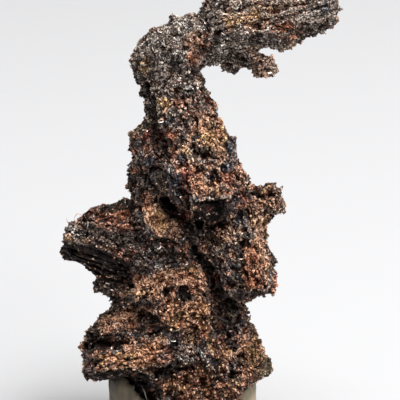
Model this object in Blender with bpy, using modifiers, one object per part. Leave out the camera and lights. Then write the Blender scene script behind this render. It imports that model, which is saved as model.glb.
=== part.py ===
"""Native silver specimen on a lump of display putty.

A spongy mass of native silver, tarnished black and copper brown: a stack of thick ledges that
carries a trunk, a neck and a long arm bent over to one side. Its foot is pressed into a squat lump of
putty with a flat underside. Metres, +Z up. The origin is the centre of the putty's underside.
"""

import math

import bmesh
import bpy
from mathutils import Matrix, Vector, noise

# Driving dimensions
MM = 0.001
FACE_TILT = math.radians(15.0)  # the face plane, which the outlines are drawn in, leans back by this
DRAWN_FROM = 420.0  # millimetres: an outline is drawn as it looks from here, so nearer ones come out smaller
DRAWN_MIDDLE = (3.0, 36.0)  # the point of the face plane straight ahead of that view
TOUCH_GAP = 0.35 * MM  # between the silver's foot and the putty that it is pressed into
SOCKET_MARGIN = 0.15 * MM  # for what the socket's coarser facets take back

PUTTY_RADIUS = 11.3 * MM
PUTTY_WAIST = 0.95  # of the radius
PUTTY_DEPTH_SHARE = 0.86  # of the radius, from front to back
PUTTY_HEIGHT = 11.0 * MM
PUTTY_TOP_RISE = -0.13  # the top falls from front to back
PUTTY_CENTRE_X = 0.4 * MM
PUTTY_FOLD = 0.55 * MM
PUTTY_DENT = 0.35 * MM
PUTTY_FOLD_SPREAD = 2.2  # folds to the radian
PUTTY_FOLD_HEIGHT = 9.0 * MM
PUTTY_DENT_SIZE = 5.0 * MM
PUTTY_SIDES = 40

# Resolution of the solids
FORM_VOXEL = 0.6 * MM
GROOVE_VOXEL = 0.4 * MM
SURFACE_VOXEL = 0.45 * MM
PUTTY_VOXEL = 0.7 * MM
SILVER_TRIANGLES = 8100
SOCKET_TRIANGLES = 5200
PUTTY_TRIANGLES = 900

# Each ledge of the mass: its outline in millimetres in the face plane, across to the right and up from
# the table. depth is (near, far) in millimetres from the trunk's middle, positive away from the viewer.
# near and far shape those two ends from the outline: share of the width, share of the height, moved
# across, moved up, and rise per millimetre across.
LEDGES = {
    "shoulder": {
        "outline": [
            (3.5, 64.2), (2.5, 64.2), (1.2, 63.8), (0.2, 63.8), (-1.1, 64.1), (-2.0, 63.2), (-3.4, 62.3),
            (-5.0, 61.2), (-6.0, 60.2), (-7.0, 59.0), (-7.7, 57.4), (-6.3, 54.8), (-2.3, 53.3), (1.5, 54.0),
            (3.0, 56.4), (5.3, 58.5), (5.3, 63.6),
        ],
        "depth": (-5.0, 5.0),
        "near": (0.62, 0.6, 0.6, -0.6, 0.1), "far": (0.7, 0.75, -0.3, -0.8, 0.0),
    },
    "neck": {
        "outline": [
            (-1.5, 61.5), (-6.0, 60.0), (-6.9, 58.5), (-7.6, 57.4), (-7.5, 56.4), (-7.3, 54.7), (-6.8, 52.8),
            (-6.2, 51.0), (-5.7, 49.8), (-5.4, 48.2), (-5.4, 47.4), (-4.5, 45.0), (5.2, 45.0), (6.7, 46.5),
            (6.1, 48.0), (5.3, 49.5), (4.8, 51.0), (4.3, 52.2), (4.1, 53.5), (3.8, 54.7), (3.1, 55.9),
            (3.5, 57.8), (3.0, 60.0),
        ],
        "depth": (-5.5, 5.8),
        "near": (0.6, 0.78, 0.4, -0.8, 0.0), "far": (0.7, 0.8, 0.0, -0.5, 0.0),
    },
    "upper_slab": {
        "outline": [
            (-2.3, 52.2), (0.8, 53.4), (3.4, 52.6), (4.3, 51.0), (5.1, 49.5), (6.6, 48.0), (7.9, 46.5),
            (8.4, 45.0), (9.0, 42.8), (9.4, 41.2), (10.2, 39.9), (10.9, 38.5), (11.0, 37.5), (10.5, 36.0),
            (9.0, 33.8), (6.8, 32.7), (3.0, 33.8), (1.5, 32.3), (-0.3, 34.8), (-2.3, 36.4), (-4.2, 37.8),
            (-4.5, 40.5), (-3.8, 43.5), (-2.6, 47.3), (-4.0, 50.2),
        ],
        "depth": (-9.8, 3.0),
        "near": (0.66, 0.55, 0.4, -3.0, 0.0), "far": (0.8, 0.8, 0.0, 0.0, 0.0),
    },
    "left_rib": {
        "outline": [
            (-3.8, 48.3), (-5.4, 47.3), (-6.6, 46.9), (-8.0, 46.3), (-8.1, 44.3), (-7.7, 42.8), (-7.5, 41.6),
            (-7.8, 40.9), (-7.5, 39.0), (-7.2, 37.5), (-6.9, 36.3), (-6.8, 33.8), (-6.0, 30.8), (-3.3, 30.8),
            (-3.3, 36.0), (-2.3, 40.5), (-2.3, 46.5),
        ],
        "depth": (-6.2, 6.0),
        "near": (0.42, 0.82, -0.3, -0.9, 0.0), "far": (0.8, 0.8, 0.5, 0.0, 0.0),
    },
    "box_lump": {
        "outline": [
            (1.4, 39.0), (7.9, 39.3), (8.1, 37.0), (7.9, 34.6), (6.6, 33.0), (4.0, 32.5), (1.9, 33.6),
            (1.4, 36.8),
        ],
        "depth": (-14.6, -4.0),
        "near": (1.0, 0.44, 0.0, -0.5, 0.0), "far": (1.0, 1.0, 0.0, 0.0, 0.0),
    },
    "right_block": {
        "outline": [
            (10.5, 33.8), (13.1, 33.3), (13.2, 31.5), (13.5, 30.0), (13.7, 28.5), (14.4, 27.3), (14.5, 26.3),
            (15.1, 24.8), (15.1, 22.5), (14.0, 21.2), (12.6, 21.6), (11.4, 21.4), (10.2, 20.9), (9.0, 20.4),
            (6.8, 21.0), (5.0, 23.3), (4.1, 26.7), (3.8, 30.0), (4.8, 31.8), (7.5, 32.7),
        ],
        "depth": (-9.8, 4.0),
        "near": (0.74, 0.72, -0.9, -0.6, 0.0), "far": (0.75, 0.75, -1.0, 0.8, 0.0),
    },
    "knob": {
        "outline": [
            (10.3, 38.5), (11.1, 37.9), (12.3, 38.1), (13.2, 38.6), (13.8, 38.6), (14.9, 38.1), (16.0, 37.0),
            (16.5, 35.6), (16.7, 34.4), (16.1, 33.8), (14.3, 33.5), (13.0, 33.1), (11.3, 32.7), (9.3, 33.8),
        ],
        "depth": (-5.5, 1.5),
        "near": (0.62, 0.62, -0.5, 0.0, 0.0), "far": (0.7, 0.7, -0.4, 0.0, 0.0),
    },
    "left_ledge": {
        "outline": [
            (-7.0, 36.4), (-9.0, 36.1), (-11.3, 35.8), (-12.5, 35.2), (-13.8, 34.5), (-15.0, 33.7),
            (-15.8, 32.9), (-16.9, 32.3), (-17.5, 31.6), (-18.1, 30.5), (-18.3, 29.3), (-18.3, 27.2),
            (-16.6, 26.6), (-14.8, 26.0), (-13.8, 25.6), (-12.5, 24.9), (-10.5, 24.3), (-6.0, 23.3),
            (-1.5, 25.2), (-0.8, 30.0), (-1.5, 33.8), (-4.5, 36.0),
        ],
        "depth": (-8.6, 7.0),
        "near": (0.78, 0.22, 1.2, -2.0, -0.22), "far": (0.72, 0.7, 1.6, 0.5, 0.0),
    },
    "ledge_step": {
        "outline": [
            (-12.4, 24.5), (-13.4, 23.7), (-13.6, 22.4), (-11.5, 21.9), (-10.6, 21.4), (-9.3, 21.2),
            (-8.9, 20.6), (-6.8, 20.6), (-4.5, 22.5), (-4.5, 24.8), (-9.0, 25.8),
        ],
        "depth": (-5.6, 5.5),
        "near": (0.86, 0.6, 0.3, 0.3, -0.1), "far": (0.8, 0.8, 0.5, 0.0, 0.0),
    },
    "centre": {
        "outline": [
            (-7.0, 36.6), (-6.8, 30.8), (-7.8, 25.8), (-8.5, 21.2), (-3.0, 19.2), (5.3, 19.8), (6.8, 22.5),
            (4.5, 27.8), (3.0, 32.3), (0.0, 35.3), (-3.0, 36.6),
        ],
        "depth": (-7.2, 7.5),
        "near": (0.85, 0.8, 0.0, -0.7, 0.0), "far": (0.8, 0.8, 0.0, 0.0, 0.0),
    },
    "square_plate": {
        "outline": [(-6.8, 31.2), (-3.0, 31.8), (1.0, 30.6), (1.8, 26.7), (0.8, 25.8), (-6.0, 25.8)],
        "depth": (-9.0, 0.0),
        "near": (0.96, 0.92, 0.0, -0.1, 0.0), "far": (1.0, 1.0, 0.0, 0.0, 0.0),
    },
    "bright_step": {
        "outline": [
            (-8.7, 21.3), (-7.5, 23.3), (-4.5, 25.2), (0.8, 25.5), (3.7, 24.8), (4.5, 21.8), (4.8, 19.5),
            (-4.5, 19.2), (-8.7, 20.3),
        ],
        "depth": (-9.2, 0.0),
        "near": (0.9, 0.5, 0.2, -0.6, 0.05), "far": (1.0, 1.0, 0.0, 0.0, 0.0),
    },
    "waist": {
        "outline": [
            (-4.8, 25.0), (2.5, 25.4), (4.6, 21.5), (5.6, 17.0), (4.0, 13.0), (-1.5, 13.5), (-4.0, 17.5),
            (-6.0, 21.0),
        ],
        "depth": (-9.4, 2.0),
        "near": (0.8, 0.8, 0.4, -0.6, 0.0), "far": (1.0, 1.0, 0.0, 0.0, 0.0),
    },
    "right_web": {
        "outline": [(4.2, 36.0), (11.0, 37.3), (12.9, 34.0), (12.6, 31.5), (8.0, 30.5), (3.4, 31.0)],
        "depth": (-7.0, 3.0),
        "near": (0.8, 0.8, 0.0, 0.0, 0.0), "far": (1.0, 1.0, 0.0, 0.0, 0.0),
    },
    "lower_ledge": {
        "outline": [
            (-8.5, 20.7), (-10.5, 20.1), (-11.7, 19.2), (-12.4, 18.1), (-13.2, 16.6), (-14.2, 15.0),
            (-14.8, 14.1), (-15.2, 12.9), (-14.9, 11.9), (-14.8, 10.2), (-14.8, 8.9), (-12.5, 8.8),
            (-10.5, 9.0), (-7.5, 9.2), (-4.5, 9.6), (-2.3, 10.5), (2.3, 10.2), (5.3, 13.5), (5.3, 18.0),
            (3.0, 21.0), (-3.0, 21.0),
        ],
        "depth": (-10.8, 6.5),
        "near": (0.84, 0.26, 0.6, -3.2, 0.04), "far": (0.74, 0.75, 1.2, 0.6, 0.0),
    },
    "lower_right": {
        "outline": [
            (5.0, 20.4), (10.0, 20.4), (10.7, 18.8), (11.2, 17.7), (11.8, 16.5), (12.4, 15.0), (13.0, 13.6),
            (13.9, 12.1), (14.4, 10.8), (14.0, 9.6), (12.8, 8.6), (9.8, 8.0), (6.8, 8.3), (3.0, 9.0),
            (1.5, 13.5), (2.3, 18.0),
        ],
        "depth": (-9.0, 7.0),
        "near": (0.66, 0.5, -1.6, -1.4, 0.0), "far": (0.8, 0.8, -0.6, 0.4, 0.0),
    },
    "foot": {
        "outline": [
            (-3.0, 10.6), (-7.9, 10.2), (-7.0, 8.0), (-5.9, 5.8), (-4.6, 3.2), (6.6, 3.2), (8.4, 5.0),
            (9.6, 7.0), (9.9, 9.0), (3.0, 11.5),
        ],
        "depth": (-11.8, 5.0),
        "near": (0.86, 0.8, 0.5, 0.5, 0.0), "far": (0.8, 0.8, 0.0, 0.6, 0.0),
    },
    "arm": {
        "outline": [
            (3.6, 64.0), (3.5, 67.8), (6.8, 69.0), (12.0, 69.3), (18.0, 68.4), (22.8, 67.4), (24.3, 66.2),
            (24.5, 65.2), (24.2, 63.6), (23.8, 62.2), (22.6, 61.0), (21.0, 60.2), (19.2, 60.0), (18.2, 59.4),
            (17.0, 59.0), (16.4, 58.4), (15.6, 57.9), (14.6, 58.3), (13.4, 59.0), (11.4, 58.9), (8.5, 57.8),
            (5.5, 57.5), (3.0, 58.3), (2.0, 60.5),
        ],
        "depth": (-5.8, 5.2),
        "near": (0.86, 0.52, 0.0, 1.0, 0.12), "far": (0.75, 0.7, 0.3, 0.5, 0.1),
    },
    "arm_underside": {
        "outline": [
            (2.5, 59.5), (2.8, 56.7), (3.9, 56.4), (4.8, 56.3), (5.6, 55.3), (7.2, 54.9), (8.1, 54.5),
            (9.0, 55.2), (9.6, 55.5), (10.6, 55.9), (11.3, 58.3), (9.0, 60.8),
        ],
        "depth": (-1.6, 5.2),
        "near": (0.85, 0.8, 0.0, 0.5, 0.0), "far": (0.75, 0.7, 0.0, 0.5, 0.0),
    },
    "finger": {
        "outline": [
            (8.5, 58.3), (9.6, 56.2), (10.1, 54.9), (11.5, 54.0), (12.5, 53.7), (13.7, 53.7), (14.8, 54.2),
            (14.9, 55.6), (14.4, 56.6), (13.6, 57.1), (12.4, 57.4), (10.8, 58.0),
        ],
        "depth": (-5.6, 2.5),
        "near": (0.82, 0.78, 0.2, 0.2, -0.15), "far": (0.75, 0.7, 0.0, 0.0, 0.0),
    },
    "back_slab": {
        "outline": [
            (-4.8, 52.0), (-5.6, 44.0), (-5.0, 37.0), (0.5, 33.5), (6.5, 36.5), (8.0, 41.0), (6.0, 47.0),
            (2.5, 52.0),
        ],
        "depth": (2.0, 10.5),
        "near": (1.0, 1.0, 0.0, 0.0, 0.0), "far": (0.6, 0.4, 0.6, -3.0, 0.3),
    },
    "back_block": {
        "outline": [
            (-11.5, 29.5), (-11.0, 23.5), (-6.0, 19.5), (3.0, 18.5), (9.5, 21.5), (10.5, 29.0), (4.0, 33.0),
            (-5.0, 33.5),
        ],
        "depth": (3.0, 11.5),
        "near": (1.0, 1.0, 0.0, 0.0, 0.0), "far": (0.7, 0.35, -1.0, -1.8, -0.2),
    },
    "back_ledge": {
        "outline": [
            (-9.5, 18.5), (-11.0, 12.0), (-9.5, 9.8), (0.0, 9.3), (10.0, 9.6), (11.0, 13.0), (8.5, 18.0),
            (1.0, 20.5),
        ],
        "depth": (4.0, 12.0),
        "near": (1.0, 1.0, 0.0, 0.0, 0.0), "far": (0.76, 0.35, 0.5, -1.6, 0.1),
    },
}

# Grooves cut into the mass: from and to in the face plane, how deep they reach, and the width.
GROOVES = {
    "block_crevice": {"ends": [(1.6, 30.5), (7.0, 20.0)], "depth": (-16.0, -5.6), "width": 1.7},
    "slab_undercut": {"ends": [(-4.6, 37.6), (2.4, 31.4)], "depth": (-16.0, -8.2), "width": 1.5},
    "neck_furrow": {"ends": [(-4.7, 51.8), (-3.4, 45.0)], "depth": (-14.0, -2.4), "width": 1.4},
    "rib_furrow": {"ends": [(-4.4, 43.5), (-4.4, 33.0)], "depth": (-14.0, -3.2), "width": 1.0},
    "box_underside": {"ends": [(2.0, 31.8), (7.4, 31.8)], "depth": (-16.0, -6.2), "width": 1.3},
    "ledge_groove": {"ends": [(-16.0, 14.0), (-8.5, 14.4)], "depth": (-16.0, -5.4), "width": 1.5},
    "ledge_crack": {"ends": [(-12.5, 16.4), (-1.8, 16.8)], "depth": (-16.0, -5.6), "width": 0.9},
    "ledge_notch": {"ends": [(-16.5, 11.5), (-12.9, 11.7)], "depth": (-12.0, 9.0), "width": 1.2},
    "left_ledge_groove": {"ends": [(-19.0, 28.4), (-8.0, 25.2)], "depth": (-14.0, -5.2), "width": 0.9},
    "slab_hollow": {"ends": [(2.0, 44.2), (4.0, 42.6)], "depth": (-16.0, -8.0), "width": 1.2},
    "lower_hollow": {"ends": [(0.4, 21.8), (1.6, 21.8)], "depth": (-14.0, -6.6), "width": 1.8},
    "lower_furrow": {"ends": [(3.0, 13.6), (8.5, 10.4)], "depth": (-14.0, -5.6), "width": 1.0},
    "arm_crack": {"ends": [(4.0, 60.0), (13.0, 61.2)], "depth": (-12.0, -3.4), "width": 0.9},
    "foot_recess": {"ends": [(-6.2, 10.0), (-3.7, 3.4)], "depth": (-16.0, -8.4), "width": 2.3},
    "back_crevice": {"ends": [(-9.0, 21.5), (10.5, 19.5)], "depth": (7.0, 18.0), "width": 1.6},
}
PUTTY_RECESS = {"ends": [(-6.2, 12.5), (-3.7, 3.4)], "depth": (-16.0, -8.8), "width": 2.1}
GROOVE_MOUTH = 1.6  # of the width, at the surface
GROOVE_BOTTOM = 0.4

# A ledge has its full outline between these shares of the way from its near end to its far end.
FULL_FROM = 0.4
FULL_TO = 0.55

# Layers of the ore: in each part of the mass they run along their own direction, given in degrees.
LAYERS = {
    "arm": {"at": (13.0, 62.5), "reach": 14.0, "rise": 20.0},
    "trunk": {"at": (0.0, 46.0), "reach": 12.0, "rise": 62.0},
    "left_ledge": {"at": (-13.0, 29.0), "reach": 9.0, "rise": -16.0},
    "right_block": {"at": (10.0, 28.0), "reach": 8.0, "rise": -66.0},
    "lower": {"at": (-4.0, 13.5), "reach": 13.0, "rise": 6.0},
}
LAYER_SPACING = 2.4  # the rest of these are millimetres
LAYER_DIP = 0.25  # millimetres up per millimetre back
LAYER_RELIEF = 0.7
LAYER_FACE = 0.75  # the share of a layer's thickness that slopes out before it drops back
LAYER_BLEND = 3.0  # how fast a part's direction fades away from its middle
BEND_SIZE = 7.0
BEND_REACH = 1.6
LUMP_SIZE = 3.4
LUMP_RELIEF = 0.55
BLOCK_SIZE = 2.2
BLOCK_RELIEF = 0.4
SKIN = 0.1  # what the remeshing and the pits take off an outline, put back
PIT_SIZE = 4.2
PIT_REACH = 0.36
PIT_RELIEF = 1.0


def clear_scene():
    for old in list(bpy.data.objects):
        bpy.data.objects.remove(old)


def collection(name):
    made = bpy.data.collections.new(name)
    bpy.context.scene.collection.children.link(made)
    return made


def material(name, colour, roughness, metallic):
    made = bpy.data.materials.new(name)
    made.use_nodes = True
    shader = made.node_tree.nodes["Principled BSDF"]
    shader.inputs["Base Color"].default_value = (*colour, 1.0)
    shader.inputs["Roughness"].default_value = roughness
    shader.inputs["Metallic"].default_value = metallic
    return made


def in_row(across, up, away, middle_up):
    """A point of the face plane, in metres.

    The trunk stands upright, so the higher a ledge's middle, the nearer it is brought.
    """
    ahead_across, ahead_up = DRAWN_MIDDLE
    away -= middle_up * math.tan(FACE_TILT)
    nearness = -away - ahead_up * math.tan(FACE_TILT)
    share = 1.0 - nearness / DRAWN_FROM
    across = ahead_across + (across - ahead_across) * share
    up = ahead_up + (up - ahead_up) * share
    tilt_sin, tilt_cos = math.sin(FACE_TILT), math.cos(FACE_TILT)
    return Vector((across, up * tilt_sin + away * tilt_cos, up * tilt_cos - away * tilt_sin)) * MM


def reshaped(outline, change):
    """The outline as a ledge's near or far face has it."""
    width, height, across, up, rise = change
    middle_u = sum(u for u, v in outline) / len(outline)
    middle_v = sum(v for u, v in outline) / len(outline)
    return [
        (
            middle_u + (u - middle_u) * width + across,
            middle_v + (v - middle_v) * height + up + (u - middle_u) * rise,
        )
        for u, v in outline
    ]


def extruded(bm, face):
    """The new end face of an extrusion that starts at this face, its corners in the same order."""
    ring = bmesh.ops.extrude_face_region(bm, geom=[face, *face.edges])["geom"]
    return next(part for part in ring if isinstance(part, bmesh.types.BMFace))


def add_ledge(bm, outline, depth, near, far):
    """One ledge: the far face, extruded to the full outline at its middle and on to the near face."""
    near_depth, far_depth = depth
    middle_up = sum(v for u, v in outline) / len(outline)
    sections = [
        (reshaped(outline, far), far_depth),
        (outline, near_depth + (far_depth - near_depth) * FULL_TO),
        (outline, near_depth + (far_depth - near_depth) * FULL_FROM),
        (reshaped(outline, near), near_depth),
    ]
    first, away = sections[0]
    face = bm.faces.new([bm.verts.new(in_row(u, v, away, middle_up)) for u, v in first])
    for section, away in sections[1:]:
        face = extruded(bm, face)
        for vert, (u, v) in zip(face.verts, section):
            vert.co = in_row(u, v, away, middle_up)


def add_groove(bm, ends, depth, width):
    """A wedge along a line in the face plane, widest at the surface and closing towards its bottom."""
    (u0, v0), (u1, v1) = ends
    middle_up = (v0 + v1) / 2
    along = Vector((u1 - u0, v1 - v0)).normalized()
    side_u, side_v = -along.y * width / 2, along.x * width / 2
    shares = (GROOVE_MOUTH, GROOVE_BOTTOM)
    if abs(depth[0]) < abs(depth[1]):
        shares = (GROOVE_BOTTOM, GROOVE_MOUTH)
    rings = []
    for away, share in zip(depth, shares):
        out_u, out_v = side_u * share, side_v * share
        corners = [
            (u0 - out_u, v0 - out_v), (u1 - out_u, v1 - out_v),
            (u1 + out_u, v1 + out_v), (u0 + out_u, v0 + out_v),
        ]
        rings.append([in_row(u, v, away, middle_up) for u, v in corners])
    end = extruded(bm, bm.faces.new([bm.verts.new(point) for point in rings[0]]))
    for vert, point in zip(end.verts, rings[1]):
        vert.co = point


def object_from(bm, name, into):
    bmesh.ops.recalc_face_normals(bm, faces=bm.faces)
    mesh = bpy.data.meshes.new(name)
    bm.to_mesh(mesh)
    bm.free()
    made = bpy.data.objects.new(name, mesh)
    into.objects.link(made)
    return made


def as_helper(made):
    made.hide_render = True
    made.display_type = "WIRE"
    return made


def evaluated_mesh(made):
    bpy.context.view_layer.update()
    graph = bpy.context.evaluated_depsgraph_get()
    return bpy.data.meshes.new_from_object(made.evaluated_get(graph))


def voxel_remesh(made, size):
    remesh = made.modifiers.new("even_skin", "REMESH")
    remesh.mode = "VOXEL"
    remesh.voxel_size = size


def without_crumbs(mesh):
    """The mesh with only its largest connected body left."""
    bm = bmesh.new()
    bm.from_mesh(mesh)
    waiting = set(bm.verts)
    bodies = []
    while waiting:
        body, edge_of_body = set(), [waiting.pop()]
        while edge_of_body:
            vert = edge_of_body.pop()
            body.add(vert)
            for edge in vert.link_edges:
                other = edge.other_vert(vert)
                if other in waiting:
                    waiting.remove(other)
                    edge_of_body.append(other)
        bodies.append(body)
    bodies.sort(key=len)
    bmesh.ops.delete(bm, geom=[vert for body in bodies[:-1] for vert in body], context="VERTS")
    bm.to_mesh(mesh)
    bm.free()
    return mesh


def cut_by(made, cutter):
    cut = made.modifiers.new(cutter.name, "BOOLEAN")
    cut.operation = "DIFFERENCE"
    cut.object = cutter


def thin_out(made, wanted):
    """Fewer triangles, as near to the wanted number as a ratio gets."""
    triangles = sum(len(p.vertices) - 2 for p in evaluated_mesh(made).polygons)
    decimate = made.modifiers.new("facets", "DECIMATE")
    decimate.ratio = min(1.0, wanted / triangles)


def layer_height(across, up, away):
    """Position across the layers, in millimetres, blended between the directions of the parts."""
    total, weights = 0.0, 1e-6
    for layer in LAYERS.values():
        at_u, at_v = layer["at"]
        distance = math.hypot(across - at_u, up - at_v) / layer["reach"]
        weight = math.exp(-LAYER_BLEND * distance * distance)
        rise = math.radians(layer["rise"])
        total += weight * (-math.sin(rise) * (across - at_u) + math.cos(rise) * (up - at_v))
        weights += weight
    return total / weights + LAYER_DIP * away


def relief(point):
    """How far the surface stands out at a point in millimetres: layers, lumps, crystal blocks and pits."""
    across, away, up = point
    bend = noise.noise(point / BEND_SIZE) * BEND_REACH
    layer = (layer_height(across, up, away) + bend) / LAYER_SPACING
    along_layer = layer - math.floor(layer)
    layers = min(along_layer / LAYER_FACE, (1.0 - along_layer) / (1.0 - LAYER_FACE)) - 0.5
    lumps = noise.noise(point / LUMP_SIZE)
    block_middle = noise.voronoi(point / BLOCK_SIZE)[1][0]
    blocks = noise.cell(block_middle * 7.3) - 0.5
    near_pit = noise.voronoi(point / PIT_SIZE)[0][0]
    pit = max(0.0, PIT_REACH - near_pit) / PIT_REACH
    return SKIN + LAYER_RELIEF * layers + LUMP_RELIEF * lumps + BLOCK_RELIEF * blocks - PIT_RELIEF * pit


def roughen(mesh):
    for vert in mesh.vertices:
        vert.co += vert.normal * relief(vert.co / MM) * MM


def silver_mass(parts, helpers):
    groove_bm = bmesh.new()
    for groove in GROOVES.values():
        add_groove(groove_bm, groove["ends"], groove["depth"], groove["width"])
    grooves = as_helper(object_from(groove_bm, "grooves", helpers))
    voxel_remesh(grooves, GROOVE_VOXEL)

    ledge_bm = bmesh.new()
    for ledge in LEDGES.values():
        add_ledge(ledge_bm, ledge["outline"], ledge["depth"], ledge["near"], ledge["far"])
    ledges = as_helper(object_from(ledge_bm, "ledges", helpers))
    voxel_remesh(ledges, FORM_VOXEL)
    cut_by(ledges, grooves)

    mesh = without_crumbs(evaluated_mesh(ledges))
    roughen(mesh)
    rough = as_helper(bpy.data.objects.new("rough_skin", mesh))
    helpers.objects.link(rough)
    voxel_remesh(rough, SURFACE_VOXEL)
    made = bpy.data.objects.new("silver_mass", without_crumbs(evaluated_mesh(rough)))
    parts.objects.link(made)
    thin_out(made, SILVER_TRIANGLES)
    return made


def socket_cutter(silver, helpers):
    """The silver with a skin of the touch gap, to press its foot's shape into the putty."""
    made = as_helper(bpy.data.objects.new("socket", evaluated_mesh(silver)))
    helpers.objects.link(made)
    skin = made.modifiers.new("gap", "DISPLACE")
    skin.strength = TOUCH_GAP + SOCKET_MARGIN
    skin.mid_level = 0.0
    voxel_remesh(made, SURFACE_VOXEL)
    thin_out(made, SOCKET_TRIANGLES)
    return made


def putty_profile():
    """Radius and height down the lump's outer side, with rounded shoulders. It ends below the table."""
    below_table = -1.0 * MM
    return [
        (0.0, PUTTY_HEIGHT),
        (PUTTY_RADIUS * 0.55, PUTTY_HEIGHT),
        (PUTTY_RADIUS * 0.86, PUTTY_HEIGHT * 0.98),
        (PUTTY_RADIUS * 0.97, PUTTY_HEIGHT * 0.91),
        (PUTTY_RADIUS, PUTTY_HEIGHT * 0.80),
        (PUTTY_RADIUS * 0.985, PUTTY_HEIGHT * 0.65),
        (PUTTY_RADIUS * PUTTY_WAIST, PUTTY_HEIGHT * 0.42),
        (PUTTY_RADIUS * PUTTY_WAIST, PUTTY_HEIGHT * 0.22),
        (PUTTY_RADIUS * 0.97, 0.0),
        (PUTTY_RADIUS * 0.95, below_table),
        (0.0, below_table),
    ]


def knead(mesh):
    """The turned lump as fingers left it: a sloping top, upright folds round the side, and shallow dents."""
    for vert in mesh.vertices:
        angle = math.atan2(vert.co.y, vert.co.x)
        round_it = Vector((math.cos(angle), math.sin(angle), 0.0)) * PUTTY_FOLD_SPREAD
        folds = noise.noise(round_it + Vector((0.0, 0.0, vert.co.z / PUTTY_FOLD_HEIGHT)))
        dents = noise.noise(vert.co / PUTTY_DENT_SIZE)
        vert.co.z += PUTTY_TOP_RISE * vert.co.y * vert.co.z / PUTTY_HEIGHT
        vert.co.y *= PUTTY_DEPTH_SHARE
        vert.co += vert.normal * (PUTTY_FOLD * folds + PUTTY_DENT * dents)
        vert.co.x += PUTTY_CENTRE_X


def putty_base(parts, helpers, socket):
    profile_bm = bmesh.new()
    points = [profile_bm.verts.new((radius, 0.0, height)) for radius, height in putty_profile()]
    for first, second in zip(points, points[1:]):
        profile_bm.edges.new((first, second))
    profile = bpy.data.meshes.new("putty_profile")
    profile_bm.to_mesh(profile)
    profile_bm.free()
    turned = as_helper(bpy.data.objects.new("putty_turned", profile))
    helpers.objects.link(turned)
    screw = turned.modifiers.new("turned", "SCREW")
    screw.steps = PUTTY_SIDES
    screw.render_steps = PUTTY_SIDES
    screw.use_merge_vertices = True
    screw.merge_threshold = 0.0001
    voxel_remesh(turned, PUTTY_VOXEL)

    mesh = evaluated_mesh(turned)
    knead(mesh)
    lump = as_helper(bpy.data.objects.new("putty_lump", mesh))
    helpers.objects.link(lump)
    thin_out(lump, PUTTY_TRIANGLES)

    table_bm = bmesh.new()
    bmesh.ops.create_cube(table_bm, size=40.0 * MM, matrix=Matrix.Translation((0.0, 0.0, -20.0 * MM)))
    recess_bm = bmesh.new()
    add_groove(recess_bm, **PUTTY_RECESS)
    cut_by(lump, as_helper(object_from(table_bm, "below_table", helpers)))
    cut_by(lump, as_helper(object_from(recess_bm, "putty_recess", helpers)))
    cut_by(lump, socket)
    made = bpy.data.objects.new("putty_base", without_crumbs(evaluated_mesh(lump)))
    parts.objects.link(made)
    return made


def main():
    clear_scene()
    parts = collection("native_silver_specimen")
    helpers = collection("helpers")
    silver = silver_mass(parts, helpers)
    silver.data.materials.append(material("tarnished_silver", (0.16, 0.115, 0.09), 0.45, 0.7))
    putty = putty_base(parts, helpers, socket_cutter(silver, helpers))
    putty.data.materials.append(material("display_putty", (0.30, 0.26, 0.20), 0.75, 0.0))


main()
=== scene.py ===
"""Looks of the native silver specimen on its lump of display putty.

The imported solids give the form. The silver's skin is remade from its solid and carved with the cracks, ribs
and layers of its face. Grains of several finishes grow on it as a crust, a few wires stand out of it, and the
putty is a kneaded lump pressed round its foot.
"""

import math

import bmesh
import bpy
import numpy as np
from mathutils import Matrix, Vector, noise
from mathutils.bvhtree import BVHTree


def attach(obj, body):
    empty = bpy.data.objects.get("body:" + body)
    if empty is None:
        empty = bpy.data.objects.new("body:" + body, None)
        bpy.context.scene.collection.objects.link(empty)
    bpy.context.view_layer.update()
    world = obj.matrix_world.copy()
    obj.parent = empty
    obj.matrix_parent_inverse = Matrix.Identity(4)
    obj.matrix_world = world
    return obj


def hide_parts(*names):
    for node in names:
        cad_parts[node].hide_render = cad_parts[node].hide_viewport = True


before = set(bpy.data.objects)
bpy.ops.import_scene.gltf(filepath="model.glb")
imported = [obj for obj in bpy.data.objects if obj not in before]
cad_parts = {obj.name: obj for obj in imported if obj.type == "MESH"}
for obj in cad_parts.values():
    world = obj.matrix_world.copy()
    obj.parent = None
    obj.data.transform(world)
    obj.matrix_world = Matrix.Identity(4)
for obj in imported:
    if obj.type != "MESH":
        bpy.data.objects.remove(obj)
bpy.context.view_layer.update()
NOISE_SEED = 7
noise.seed_set(NOISE_SEED)  # so that noise_vector gives the same in each run

MM = 0.001  # sizes and depths below are in millimetres, unless they have this factor

# The specimen's face is a plane that leans back. Places on it are in millimetres, across to the right and up
# from the table, as they look from the viewing distance.
FACE_TILT = math.radians(15.0)
TILT_SIN, TILT_COS = math.sin(FACE_TILT), math.cos(FACE_TILT)
VIEW_DISTANCE = 420.0
VIEW_MIDDLE = (3.0, 36.0)
VIEW_WIDTH = 60.0
VIEW_TARGET = Vector((VIEW_MIDDLE[0], 0.0, VIEW_MIDDLE[1] / TILT_COS)) * MM
VIEWER = VIEW_TARGET + Vector((0.0, -TILT_COS, TILT_SIN)) * VIEW_DISTANCE * MM
TRUNK_DEPTH = -VIEW_MIDDLE[1] * math.tan(FACE_TILT)
FACING = (-0.15, 0.35)  # from turned away to facing the viewer, as the cosine of the angle

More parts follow.
